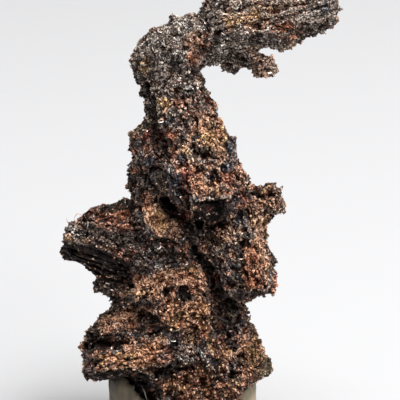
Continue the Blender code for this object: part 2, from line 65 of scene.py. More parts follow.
# The silver's skin, with its lumps, tilted blocks, the gaps between them, and pits
SKIN_VOXEL = 0.31 * MM
SKIN_SMOOTHING = 4
SKIN_INSET = 0.06  # the grains stand on the skin and reach the solid's surface
LUMP_SIZE, LUMP_HEIGHT = 2.6, 0.45
BLOCKS = ((1.7, 0.34, 0.26), (0.85, 0.18, 0.15), (0.45, 0.16, 0.1))  # size, step to the next one, tilt
GAP_WIDTH, GAP_DEPTH = 0.18, 0.14
PIT_SIZE, PIT_REACH, PIT_DEPTH = 2.9, 0.3, 1.0
STROKE_FALL = 1.2  # how fast a stroke's height falls off sideways
SQUARE_EDGE = (0.85, 1.15)  # the wall of a square stroke, in half widths
STEP_EDGE = 0.12  # half the width of a step's wall
WIDE_RECESS = (12, -0.12, 0.5)  # painted shade in the recesses: rounds of averaging, and the depths from open to fully recessed
NARROW_RECESS = (3, 0.1, 1.2, 0.8)  # the same, with depths in PROUD_HEIGHT, and how dark its painted shade gets
PROUD_HEIGHT = 0.12

# How the ore's layers run into each other, and their form
LAYER_BLEND = 3.0  # how fast a place's direction fades away from it
LAYER_SPACING = 0.95
LAYER_BEND_SIZE, LAYER_BEND = 2.2, 1.0
LAYER_RELIEF = 0.42
LAYER_FACE = 0.72  # the share of a layer's thickness that slopes out before it drops back

# The putty: pull marks and folds as width, height, place in the noise and depth, and dents as size and depth
PUTTY_VOXEL = 0.4 * MM
PUTTY_SMOOTHING = 5
PUTTY_SWELL = 0.25
PUTTY_MARKS = ((0.8, 5.0, 0.0, 0.1), (3.1, 4.5, 6.0, 0.35))
DENT_SIZE, DENT_DEPTH = 1.6, 0.22
PUTTY_FREE = (0.1, 1.4)  # the marks begin this high above the flat underside

# The putty's lip, pressed up against the silver, and the painted shade on the putty close to the silver
LIP_REACH, LIP_CLOSE = 1.3 * MM, 0.3 * MM
LIP_HEIGHTS = (0.3, 1.5)  # the lip begins between these
LIP_PRESS = 1.1  # a little past the silver's skin
LIP_RISE = 0.25 * MM
CONTACT_SHADE_REACH, CONTACT_SHADE_CLOSE = 3.2 * MM, 0.4 * MM

LIGHT_TARGET = Vector((0.0, 0.0, 0.035))
SHINE = 0.16  # how much every surface here mirrors, apart from its colour
RECESS_SHINE = 0.1  # of it, deep in the recesses, where the painted shade takes the shine away
RECESS_WARMTH = 0.6  # the painted shade in the recesses turns redder the deeper it lies

# The crust's finishes keep together in patches. Zones and bands of the face have wavy edges.
PATCH_SIZE, PATCH_CONTRAST = 1.5, 5.5
DRIFT_SIZE, DRIFT_CONTRAST = 4.2, 4.0
ZONE_CONTRAST = 3.4  # of the patches inside a zone
ZONE_HOLD = 0.82  # how much of the common finishes a full zone keeps out
ZONE_WAVES = ((3.0, 0.5), (0.9, 0.4))  # size and reach
ZONE_EDGE, BAND_EDGE = (0.8, 1.25), (0.8, 1.2)  # where they fade, in half widths
FLECK_SIZE, FLECK_STRENGTH = 0.9, 1.7  # soot flecks break up every patch
FLECK_RANGE = (0.16, 0.42)
CRACK_SOOT, CRACK_DEPTHS = 1.8, (0.3, 0.8)  # soot lies in what is carved this deep
TINT_SHARES = (0.8, 0.3)  # how far the dullest and the brightest grains take their neighbourhood's hue
TINT_SPREAD = 4  # rounds of averaging that make a neighbourhood's hue
SPECK_SIZE, SPECK_CONTRAST = 0.27, 0.6  # of the skin's colour
SPECK_GLOW, SPECK_START = 0.8, 0.2
MIDDLE_GLOW, PROUD_GLOW = 0.6, 0.25
GLOW_SIZES = ((0.3, 0.3), (0.9, 0.18), (2.6, 0.3))  # brighter and duller places: size, how much they vary
SHADE_SPREAD = 0.75  # from the dullest to the brightest grain of one place
LUMINANCE = np.array([0.2126, 0.7152, 0.0722])

# Cracks, furrows, hollows and ribs of the face: line, width, height, and whether their section is square
STROKES = {
    "trunk_crack": ([(3.4, 48.8), (4.5, 48.9), (5.8, 48.5)], 0.45, -0.7),
    "slab_hollow": ([(1.8, 44.2), (2.4, 43.2), (3.6, 42.6), (4.4, 42.8)], 1.2, -1.1),
    "slab_hole": ([(2.4, 46.1), (2.5, 45.6)], 1.0, -1.0),
    "red_streak": ([(0.4, 41.2), (0.6, 37.5), (0.9, 33.8)], 0.8, 0.35),
    "box_rim": ([(1.7, 36.9), (2.3, 36.4), (4.1, 36.5), (6.3, 36.5), (7.8, 37.0)], 0.7, 0.5),
    "box_corner": ([(1.6, 36.6), (1.6, 35.2), (1.9, 34.0)], 0.6, 0.4),
    "wedge_rim": ([(-17.7, 30.0), (-14.2, 29.4), (-10.8, 28.2), (-8.2, 27.0)], 0.8, 0.3),
    "ledge_groove": ([(-14.4, 14.1), (-12.7, 14.7), (-10.5, 14.4), (-8.2, 14.6)], 1.8, -1.8),
    "ledge_lip": ([(-14.2, 9.9), (-10.5, 9.7), (-6.0, 10.0), (-3.0, 10.6)], 0.6, 0.25),
    "small_square": ([(0.6, 22.4), (0.9, 21.4)], 2.0, -0.8, "square"),
    "smaller_square": ([(-2.2, 22.3), (-2.1, 21.7)], 0.9, -0.5, "square"),
    "knob_slot": ([(11.3, 37.1), (12.4, 36.8), (14.0, 36.9)], 0.9, -1.4),
    "foot_shadow": ([(-3.5, 10.0), (-1.0, 9.9), (2.0, 10.6)], 1.1, -0.9),
    "foot_cave": ([(-7.2, 8.7), (-5.2, 7.2), (-3.9, 5.9)], 2.4, -1.4),
    "patch_fill": ([(-4.3, 34.2), (-3.6, 32.6), (-2.6, 31.8)], 2.4, 1.2),
    "box_shadow": ([(2.2, 32.6), (4.2, 31.6), (6.6, 32.2)], 1.3, -1.2),
    "block_pocket": ([(5.6, 25.5), (7.4, 23.4), (9.2, 22.6)], 1.6, -0.9),
}

# Strokes repeated side by side: line, the step to the next one, how many, width and height
STROKE_ROWS = {
    "wedge_band": ([(-18.4, 29.0), (-13.6, 27.6), (-7.6, 25.4)], (0.15, -0.82), 4, 0.42, -0.75),
    "arm_lamella": ([(13.6, 61.9), (15.8, 61.3), (18.1, 60.4)], (0.05, 0.5), 5, 0.26, -0.65),
    "arm_layer": ([(3.8, 60.6), (9.0, 62.2), (15.0, 63.6), (22.5, 65.2)], (0.0, 1.25), 4, 0.45, -0.6),
    "block_band": ([(8.0, 33.0), (9.2, 28.6), (10.3, 22.6)], (1.25, 0.1), 4, 0.5, -0.5),
    "ledge_band": ([(-13.8, 12.4), (-8.0, 12.0), (-3.0, 12.6)], (0.2, 0.85), 2, 0.4, -0.35),
    "top_band": ([(-16.0, 31.4), (-12.0, 30.6), (-8.0, 29.3)], (0.6, 0.95), 4, 0.4, -0.4),
    "trunk_band": ([(-1.0, 50.5), (1.2, 46.5), (2.2, 43.0)], (1.5, 0.5), 5, 0.45, -0.3),
}

# Edges where the face steps back: line, depth and fade. Walking along the line, the ground on the right hand
# lies lower by the depth, and comes back up over the fade.
STEPS = {
    "box_front": ([(1.7, 36.7), (2.3, 36.1), (4.1, 36.2), (6.3, 36.2), (8.0, 36.8)], 1.1, 3.0),
    "box_side": ([(1.2, 38.6), (1.3, 36.8), (1.3, 35.0), (1.7, 33.4)], 0.8, 1.4),
    "wedge_front": ([(-18.5, 29.6), (-14.3, 29.1), (-11.3, 28.0), (-8.3, 26.7), (-6.0, 25.9)], 0.7, 2.2),
    "ledge_crack": ([(-13.5, 16.3), (-9.0, 16.1), (-6.0, 16.4), (-1.8, 17.1)], 0.9, 0.9),
    "ledge_under": ([(-15.0, 10.2), (-10.5, 10.2), (-6.0, 10.5), (-2.3, 11.1)], 0.8, 1.3),
    "neck_side": ([(-5.0, 52.6), (-3.5, 49.7), (-3.0, 47.3), (-2.3, 44.6)], 1.0, 2.2),
    "arm_side": ([(3.4, 66.5), (3.7, 63.9), (4.2, 61.5), (3.9, 59.4)], 0.6, 1.6),
    "arm_under": ([(3.9, 59.2), (6.8, 58.4), (9.8, 58.6), (12.0, 58.6)], 0.9, 2.4),
    "slab_under": ([(-4.2, 38.7), (-2.3, 36.6), (-0.3, 35.1), (1.2, 32.7), (2.7, 31.2)], 0.7, 1.4),
    "band_under": ([(-8.5, 21.3), (-4.5, 22.1), (-2.3, 22.7)], 0.7, 1.4),
    "block_side": ([(5.9, 33.0), (4.4, 28.5), (5.0, 24.0), (6.8, 20.6)], 0.6, 1.2),
}

# Places of the outline that are filled out or taken in: across, up, how far round, and how far out
OUTLINE = {
    "neck_waist": (4.6, 51.3, 1.2, 0.8),
    "neck_bulge": (5.5, 49.7, 0.7, -0.3),
    "trunk_waist": (6.3, 48.0, 0.9, 0.8),
    "trunk_bulge": (6.7, 46.7, 0.8, -0.5),
    "block_bulge": (14.0, 28.5, 1.2, -0.7),
    "rib_notch": (-7.1, 37.5, 0.9, 0.7),
    "rib_bulge": (-7.6, 42.4, 0.8, -0.5),
    "ledge_top": (-11.6, 18.9, 2.2, 0.7),
    "ledge_bulge": (-15.0, 11.3, 1.3, -0.7),
    "finger_top": (13.4, 57.1, 1.5, 0.3),
    "trunk_corner": (8.4, 45.7, 0.4, -0.2),
    "knob_tip": (16.0, 35.2, 0.7, -0.5),
    "knob_side": (15.4, 37.4, 0.7, 0.5),
    "elbow_top": (-0.8, 63.6, 0.9, 0.35),
    "elbow_side": (-4.6, 62.0, 0.8, -0.35),
    "block_hem": (11.4, 21.6, 1.0, -0.3),
    "finger_end": (14.5, 56.4, 0.8, 0.4),
    "finger_tip": (14.9, 55.0, 0.7, -0.4),
    "arm_hem": (14.2, 59.0, 2.0, 0.3),
}

# The ore's layers: across, up, how far round, their direction in degrees, and how strongly they show
LAYERS = {
    "arm": (13.5, 63.0, 10.0, 20.0, 1.0),
    "shoulder": (-2.0, 60.0, 5.0, 42.0, 0.4),
    "neck": (-1.0, 54.0, 5.0, -72.0, 0.5),
    "trunk": (4.0, 45.5, 6.5, -58.0, 0.7),
    "left_rib": (-6.0, 40.0, 3.5, -82.0, 1.0),
    "left_ledge": (-13.0, 29.0, 6.0, -17.0, 1.2),
    "square": (-2.8, 29.5, 3.0, 0.0, 0.0),
    "right_block": (10.0, 27.0, 6.0, -72.0, 0.8),
    "band": (-2.0, 23.5, 4.5, 17.0, 0.6),
    "lower": (-8.5, 14.0, 7.0, 10.0, 1.1),
    "lower_right": (9.0, 13.5, 5.5, -58.0, 0.8),
    "foot": (2.0, 7.0, 4.5, 4.0, 0.4),
}

# Where each finish of the crust lies: across, up, half width, half height, turn in degrees, strength
ZONES = {
    "tan": [
        (3.8, 46.5, 3.3, 3.3, -30, 1.0), (5.2, 42.6, 2.7, 1.8, 0, 0.6), (3.6, 51.1, 1.9, 1.3, 0, 0.55),
        (4.2, 37.6, 3.0, 1.2, 0, 1.0), (-4.2, 43.2, 1.3, 1.2, 0, 0.8), (-4.0, 35.5, 1.2, 2.1, 15, 0.7),
        (-3.2, 33.0, 1.2, 1.9, 16, 6.0), (-1.1, 32.0, 0.7, 0.8, 0, 2.0), (-0.6, 31.9, 1.2, 1.2, 0, 0.6),
        (11.4, 32.7, 1.2, 2.9, 0, 0.9), (6.8, 31.0, 1.6, 1.5, 0, 0.8), (9.3, 39.0, 1.8, 2.4, 0, 0.5),
        (13.2, 36.0, 2.1, 1.8, 0, 0.5), (12.4, 27.8, 1.1, 3.9, 0, 0.55), (-2.2, 23.6, 6.5, 1.6, 17, 1.0),
        (0.0, 19.2, 3.9, 2.7, 0, 0.8), (3.6, 21.3, 1.6, 2.1, 0, 0.75), (-9.4, 18.3, 3.6, 1.3, 20, 0.75),
        (-8.2, 12.3, 5.0, 1.3, -3, 1.0), (-4.5, 14.2, 2.4, 1.5, 10, 0.9), (2.2, 7.6, 4.8, 1.8, 0, 0.65),
        (11.4, 13.2, 2.1, 4.0, -25, 0.8), (7.2, 13.3, 2.5, 1.5, 0, 0.9), (16.5, 62.8, 3.1, 1.2, 14, 0.55),
        (12.3, 64.6, 3.9, 1.3, 8, 0.55), (10.2, 62.6, 3.4, 1.1, 8, 1.3), (18.3, 64.6, 2.1, 1.2, 0, 0.4),
        (12.6, 56.6, 2.4, 1.8, -20, 3.2), (11.0, 57.8, 1.6, 0.8, -15, 2.4), (2.6, 60.0, 2.0, 1.4, 0, 1.2),
        (12.5, 65.6, 6.0, 2.4, 8, 0.8), (-4.5, 43.5, 0.9, 0.8, 0, 0.5),
    ],
    "copper": [
        (2.6, 60.0, 2.0, 1.4, 0, 2.2), (2.4, 57.3, 1.4, 1.3, 0, 2.8), (16.5, 61.2, 2.4, 1.3, -20, 1.9),
        (4.0, 51.6, 0.9, 0.8, 0, 0.8), (0.0, 50.4, 1.2, 0.9, 0, 0.5), (-1.2, 45.4, 1.1, 0.8, 0, 0.7),
        (11.4, 26.1, 1.9, 2.7, 0, 0.9), (9.4, 35.1, 1.2, 1.5, 0, 0.5), (-10.2, 33.6, 3.3, 1.3, 10, 0.42),
        (-8.7, 34.2, 0.9, 1.3, 0, 0.8), (-12.0, 29.2, 2.2, 0.8, -18, 0.55), (-9.3, 28.2, 1.2, 0.8, 0, 0.5),
        (3.6, 28.9, 0.9, 0.6, 0, 0.9), (0.4, 27.8, 1.2, 1.2, 0, 0.6), (3.8, 16.5, 1.3, 1.3, 0, 0.75),
        (1.5, 14.1, 1.9, 1.2, 0, 0.55), (3.0, 19.2, 1.6, 1.6, 0, 0.5), (-8.2, 17.2, 1.3, 0.6, -15, 0.6),
        (-11.4, 13.2, 1.9, 0.9, 0, 0.6), (1.2, 7.8, 1.1, 1.5, 0, 0.6), (7.2, 7.8, 1.5, 1.5, 0, 0.6),
        (12.3, 23.4, 2.1, 1.3, 0, 0.45), (-6.0, 23.2, 1.6, 1.2, 0, 0.5), (8.2, 63.8, 1.5, 0.9, 0, 0.3),
        (-6.3, 40.8, 0.9, 0.9, 0, 0.5), (12.3, 56.1, 1.8, 1.2, 0, 0.35), (5.7, 57.3, 0.9, 0.6, 0, 0.2),
        (-4.7, 35.8, 0.7, 1.7, 18, 4.0), (1.2, 33.6, 0.6, 0.6, 0, 3.0), (0.5, 38.8, 0.5, 0.7, 0, 2.0),
        (-7.2, 12.8, 6.5, 2.6, 0, 0.4), (1.0, 19.5, 5.2, 3.2, 0, 0.4), (2.0, 7.0, 6.8, 3.8, 0, 0.5),
        (-7.5, 18.0, 4.5, 1.8, 20, 0.4), (-1.5, 23.4, 6.0, 1.8, 17, 0.4),
    ],
    "gold": [
        (8.6, 63.1, 2.2, 0.9, 6, 4.0), (12.9, 64.3, 1.8, 0.7, 12, 1.8), (-5.5, 55.8, 0.9, 1.1, 0, 0.8),
        (-2.9, 50.5, 1.1, 1.3, 20, 1.0), (5.5, 37.8, 0.8, 1.2, 10, 1.0), (5.2, 45.6, 1.9, 1.9, -30, 0.6),
        (6.8, 13.2, 1.2, 0.6, 0, 0.8), (-6.6, 46.8, 1.1, 0.6, 20, 0.6), (-3.0, 33.1, 0.9, 1.3, 20, 5.0),
        (-0.3, 18.3, 1.1, 1.1, 0, 0.5), (-4.5, 14.2, 1.2, 0.8, 0, 0.4), (-8.0, 11.8, 4.8, 1.4, -3, 0.5),
        (1.5, 18.0, 4.0, 3.4, 0, 0.2), (11.4, 13.4, 2.0, 3.0, -25, 0.4), (-2.2, 23.6, 6.0, 1.4, 17, 0.3),
        (3.0, 8.0, 6.0, 3.0, 0, 0.25), (12.6, 31.5, 1.6, 2.6, 0, 0.4),
    ],
    "grey": [
        (12.5, 63.5, 13.0, 5.5, 12, 0.3), (-1.5, 59.0, 6.5, 5.0, 10, 0.5), (-0.8, 52.5, 6.0, 4.5, -20, 0.4),
        (0.0, 61.6, 3.6, 1.5, 14, 0.75), (-4.5, 57.3, 1.8, 2.1, 0, 0.7), (-0.3, 57.4, 1.3, 1.2, 0, 0.9),
        (-2.5, 59.7, 1.3, 1.2, 0, 0.7), (-2.2, 53.7, 2.5, 1.2, 0, 0.7), (1.2, 52.8, 0.8, 1.2, 0, 0.7),
        (6.3, 63.9, 2.2, 1.6, 0, 0.6), (7.8, 60.3, 2.2, 1.2, 0, 0.5), (7.0, 57.2, 4.0, 1.6, 0, 1.5),
        (15.8, 59.4, 2.4, 0.9, -8, 0.5), (12.6, 56.6, 2.4, 1.8, -20, 2.4), (-0.3, 12.4, 1.9, 0.8, 0, 0.7),
        (4.2, 12.9, 0.8, 0.8, 0, 1.0), (-15.0, 30.6, 1.2, 0.9, 0, 0.6), (-0.6, 15.3, 2.1, 0.9, 0, 0.5),
        (6.3, 8.4, 1.2, 0.8, 0, 0.5), (19.5, 64.2, 1.5, 1.2, 0, 0.4), (11.1, 31.2, 1.2, 1.3, 0, 0.45),
    ],
    "ash": [
        (13.5, 63.0, 12.5, 6.0, 12, 1.1), (-1.5, 59.0, 6.5, 5.0, 10, 1.0), (-0.8, 52.5, 5.5, 4.5, -20, 0.5),
        (7.0, 57.0, 5.0, 3.0, 0, 1.5), (12.6, 56.5, 2.6, 2.4, -20, 0.8),
    ],
    "blue": [
        (21.9, 64.8, 1.6, 0.9, 0, 0.8), (-1.3, 47.7, 1.2, 0.9, 0, 0.7), (0.1, 46.5, 1.2, 0.9, 0, 0.5),
        (-0.1, 42.0, 0.9, 0.8, 0, 1.0), (-0.9, 38.7, 1.6, 1.5, 0, 0.7), (-1.1, 35.5, 1.2, 1.8, 0, 0.5),
        (7.8, 43.5, 0.9, 2.9, 0, 0.9), (9.0, 33.9, 1.2, 1.5, 0, 0.35), (8.4, 36.6, 0.9, 1.3, 0, 0.4),
        (-0.3, 15.4, 1.6, 0.9, 0, 0.4), (9.0, 16.8, 1.2, 1.2, 0, 0.4), (6.6, 38.4, 0.8, 0.8, 0, 0.5),
        (-4.5, 26.7, 1.5, 0.9, 0, 0.35), (8.7, 10.9, 0.9, 1.1, 0, 0.35), (-4.5, 40.2, 0.9, 3.3, 0, 0.4),
    ],
    "red": [
        (0.6, 37.2, 0.6, 4.5, -4, 2.8), (-3.8, 46.0, 1.6, 1.8, 0, 0.6), (7.2, 39.3, 0.9, 0.8, 0, 0.7),
        (10.2, 35.4, 0.9, 0.9, 0, 0.6), (3.8, 16.5, 0.8, 0.8, 0, 0.4), (9.8, 36.0, 0.8, 0.8, 0, 0.4),
        (-10.8, 33.3, 1.5, 0.9, 0, 0.3), (7.8, 56.1, 1.2, 0.8, 0, 0.25), (4.5, 35.2, 0.8, 0.8, 0, 0.2),
        (5.4, 22.5, 0.6, 2.1, 0, 0.3),
    ],
    "black": [
        (-4.5, 48.8, 1.3, 4.0, 5, 1.4), (6.6, 56.7, 3.6, 1.3, -5, 0.9), (-6.3, 36.4, 1.3, 5.2, 0, 1.2),
        (4.6, 34.0, 3.1, 1.9, 0, 1.6), (-1.2, 35.5, 0.9, 3.6, 40, 1.0), (-2.7, 28.8, 4.0, 3.0, 0, 1.0),
        (-12.3, 27.4, 5.7, 1.3, -20, 1.6), (-10.8, 23.1, 2.9, 1.3, -10, 0.9),
        (4.5, 25.2, 1.1, 5.4, 22, 1.6), (7.8, 22.5, 3.0, 1.9, 0, 1.1), (7.2, 19.2, 2.1, 3.4, 0, 1.3),
        (-11.8, 14.7, 2.9, 1.1, 5, 5.0), (-7.5, 16.3, 4.5, 0.4, 0, 1.5), (-9.0, 9.4, 6.8, 0.6, 0, 1.4),
        # the black zone in the cave by the foot is painted shade
        (-5.1, 7.3, 1.9, 1.9, 0, 5.0), (3.0, 43.5, 1.3, 1.1, -20, 1.5), (2.4, 45.9, 0.6, 0.8, 0, 1.4),
        (0.75, 21.9, 1.15, 1.25, 0, 12.0), (-2.1, 22.1, 0.6, 0.8, 0, 8.0), (0.0, 10.8, 2.4, 0.8, 0, 1.3),
        (0.4, 55.2, 1.8, 1.2, 0, 0.6), (11.2, 60.3, 1.2, 1.3, 0, 0.8), (21.3, 61.6, 2.7, 0.9, 10, 0.9),
        (6.8, 60.8, 1.5, 1.2, 0, 0.4), (19.5, 63.9, 1.5, 1.2, 0, 0.4), (-5.2, 54.0, 0.8, 3.8, 0, 0.5),
        (8.7, 11.2, 0.9, 1.6, 0, 0.8), (2.2, 31.2, 2.1, 1.1, -20, 1.3), (9.0, 27.8, 0.8, 3.9, -12, 0.8),
        (-3.0, 38.2, 1.2, 2.2, 30, 0.8), (1.5, 11.1, 2.7, 0.6, 0, 0.9), (-12.8, 10.2, 1.8, 1.2, 0, 0.8),
        (-10.6, 30.4, 3.6, 1.1, -14, 1.3), (-12.6, 31.6, 1.6, 0.7, 10, 0.9), (1.5, 47.2, 1.2, 1.0, 20, 0.9),
        (-1.8, 34.0, 0.6, 0.9, 20, 4.0),
    ],
    "olive": [
        (13.2, 11.4, 1.3, 2.4, -24, 2.2), (-5.1, 47.4, 1.5, 0.6, 15, 0.6), (12.3, 28.5, 0.8, 1.8, 0, 0.3),
        (3.0, 43.5, 3.0, 2.1, 0, 0.15), (-16.5, 30.0, 0.9, 0.8, 0, 0.4), (13.8, 25.8, 0.6, 1.8, 0, 0.5),
    ],
}

# And where it lies in bands: line, half width and strength
BANDS = {
    # Some of these black bands are painted shadow, put where overhangs throw shade: along the slab's lower
    # edge, under the box, in the crack beside the right block, under the lower ledge, by the foot, and in the
    # groove left of the neck
    "black": [
        ([(-5.7, 52.5), (-4.8, 50.1), (-4.0, 47.7), (-3.3, 45.3)], 1.05, 1.7),
        ([(-3.0, 60.2), (-1.8, 58.3), (-0.5, 56.3), (0.8, 54.4)], 0.6, 2.2),
        ([(-6.1, 43.5), (-6.5, 40.5), (-6.5, 37.5), (-6.3, 33.8)], 0.82, 1.0),
        ([(-4.5, 37.8), (-2.7, 36.1), (-1.2, 34.8), (0.1, 32.9)], 0.67, 2.2),
        ([(0.9, 31.5), (2.2, 28.8), (3.4, 26.1), (4.8, 23.4), (6.5, 21.0)], 0.6, 2.2),
        ([(-17.1, 28.5), (-14.2, 27.9), (-11.2, 26.7), (-8.1, 25.5)], 1.27, 2.2),
        ([(2.4, 34.6), (4.8, 34.0), (7.2, 34.9)], 1.27, 2.2),
        ([(0.8, 32.1), (3.0, 31.2), (5.4, 31.8)], 0.6, 2.2),
        ([(6.3, 30.0), (7.8, 26.7), (9.0, 23.2)], 0.36, 1.5), ([(4.8, 27.3), (6.3, 23.7)], 0.75, 1.3),
        ([(5.2, 22.3), (9.9, 21.8)], 1.05, 1.5), ([(2.2, 32.7), (3.9, 30.0), (3.0, 26.7)], 0.6, 1.2),
        ([(4.8, 21.0), (6.6, 18.9), (8.2, 17.2)], 1.35, 1.7), ([(4.0, 21.3), (5.0, 18.0)], 0.75, 1.5),
        ([(-14.2, 14.1), (-12.3, 15.1), (-10.2, 14.5), (-7.8, 14.8)], 0.69, 2.2),
        ([(-13.2, 16.6), (-11.2, 16.2), (-8.2, 16.5), (-5.2, 16.5), (-1.8, 17.1)], 0.27, 2.2),
        ([(-14.2, 9.6), (-10.5, 9.3), (-6.8, 9.8), (-2.7, 10.5)], 0.39, 1.8),
        ([(-2.7, 10.8), (-0.8, 10.8), (1.5, 11.4), (3.4, 12.4)], 0.36, 1.5),
        ([(-6.9, 7.8), (-4.5, 6.6)], 1.8, 2.4), ([(-3.6, 9.9), (-0.6, 9.3)], 0.67, 2.0),
        ([(4.2, 58.6), (7.2, 57.9), (9.9, 57.6)], 0.45, 1.6), ([(18.0, 60.4), (21.9, 61.6)], 0.54, 1.3),
        ([(4.0, 62.7), (4.8, 59.2)], 0.45, 0.8), ([(-10.5, 21.3), (-7.2, 20.4)], 0.53, 1.2),
        ([(-8.1, 20.8), (-5.1, 20.8), (-3.3, 20.1)], 0.75, 2.4),
        ([(-6.8, 20.6), (-6.0, 18.3), (-4.5, 17.7)], 0.6, 2.0),
        ([(7.9, 14.2), (8.8, 12.6), (8.7, 10.8)], 0.6, 1.4), ([(7.3, 16.1), (7.6, 14.2)], 0.3, 1.2),
        ([(-2.1, 16.1), (-1.2, 14.5)], 0.67, 1.1), ([(-6.0, 29.5), (-3.0, 28.9), (0.0, 29.2)], 1.35, 0.9),
        ([(-6.5, 27.3), (-3.0, 26.7), (1.2, 26.7)], 0.9, 0.9), ([(-12.8, 25.2), (-7.8, 25.1)], 0.33, 2.0),
        ([(-12.3, 23.4), (-8.1, 22.8)], 0.9, 0.8), ([(11.4, 36.6), (12.9, 36.4), (14.2, 36.6)], 0.33, 1.8),
        ([(-13.2, 32.1), (-10.8, 30.9), (-8.1, 30.0)], 0.36, 0.9),
        ([(-15.4, 30.8), (-12.0, 29.5), (-8.1, 27.6)], 0.24, 0.9), ([(-3.0, 39.0), (-1.8, 37.5)], 0.9, 0.9),
        ([(-4.5, 42.0), (-3.6, 40.2), (-2.5, 38.4)], 0.6, 1.0), ([(-14.1, 11.2), (-13.5, 9.9)], 0.53, 0.9),
    ],
    "tan": [
        ([(-3.0, 51.8), (-2.5, 50.2), (-2.1, 48.8), (-1.5, 46.8)], 0.39, 0.8),
        ([(1.8, 37.8), (4.5, 37.5), (7.2, 37.5)], 0.82, 1.4),
        ([(-4.2, 34.2), (-3.3, 32.7), (-2.1, 31.6)], 0.75, 1.3), ([(-1.2, 32.7), (-0.3, 31.5)], 0.6, 1.0),
        ([(-8.1, 21.9), (-6.0, 22.8), (-3.8, 24.0), (-0.8, 24.6), (3.0, 23.8)], 0.75, 1.6),
        ([(-4.5, 22.1), (-3.0, 21.0)], 0.75, 1.2), ([(2.7, 22.2), (2.4, 20.2)], 0.75, 1.1),
        ([(-12.3, 10.8), (-8.2, 11.1), (-4.5, 12.0)], 0.75, 1.6),
        ([(-6.8, 14.2), (-3.8, 14.7), (-3.3, 13.2)], 0.9, 1.4),
        ([(10.5, 35.2), (11.1, 33.0), (12.3, 30.6), (12.9, 28.5)], 0.67, 1.4),
        ([(3.8, 30.0), (4.8, 31.3), (6.3, 32.1)], 0.6, 1.0),
        ([(-10.2, 18.3), (-8.4, 19.5), (-7.2, 17.7)], 0.75, 1.0),
        ([(-1.8, 21.0), (-1.2, 18.8), (0.0, 17.2)], 0.9, 1.0),
        ([(6.3, 13.2), (7.8, 12.3), (6.9, 10.5)], 0.75, 1.2),
        ([(10.5, 15.8), (11.4, 13.2), (12.3, 10.5)], 0.75, 1.0),
        ([(0.8, 48.3), (3.8, 47.1), (5.4, 45.3)], 1.35, 1.1), ([(-5.0, 35.2), (-4.5, 33.8)], 0.45, 0.8),
    ],
    "grey": [
        # painted highlights: the two thin grey bands along the box's left edge and rim
        ([(1.6, 36.1), (1.6, 34.2)], 0.2, 1.6),
        ([(1.9, 36.4), (3.8, 36.1), (5.0, 36.6), (6.3, 36.3), (7.6, 36.9)], 0.2, 1.3),
        ([(-2.5, 12.4), (-0.6, 12.2), (1.5, 12.4)], 0.6, 1.1), ([(4.2, 13.5), (4.3, 12.4)], 0.6, 1.6),
        ([(-3.6, 61.0), (-2.2, 59.2), (-1.2, 57.6)], 0.18, 1.2),
        ([(-4.8, 60.0), (-4.5, 56.7), (-3.3, 54.3)], 1.05, 0.7),
        ([(-2.2, 61.5), (0.8, 62.4), (3.0, 62.7)], 0.75, 0.8), ([(-1.2, 58.2), (0.0, 57.3)], 0.6, 0.9),
        ([(11.4, 33.3), (12.3, 30.3)], 0.45, 0.5),
    ],
    "copper": [
        ([(10.2, 28.2), (11.4, 26.7), (11.1, 24.4)], 0.97, 1.5), ([(0.6, 37.5), (0.6, 33.9)], 0.33, 0.9),
        ([(-9.0, 35.2), (-8.4, 33.3)], 0.53, 0.9), ([(-10.8, 32.2), (-7.5, 31.8)], 0.45, 0.7),
        ([(15.6, 61.5), (17.4, 60.6)], 0.6, 1.0), ([(1.5, 60.0), (3.6, 60.3)], 0.67, 1.0),
        ([(1.9, 57.3), (3.0, 57.0)], 0.6, 1.2), ([(-12.3, 32.7), (-10.2, 32.1)], 0.45, 0.6),
        ([(3.0, 28.9), (3.9, 28.5)], 0.36, 1.2),
    ],
}

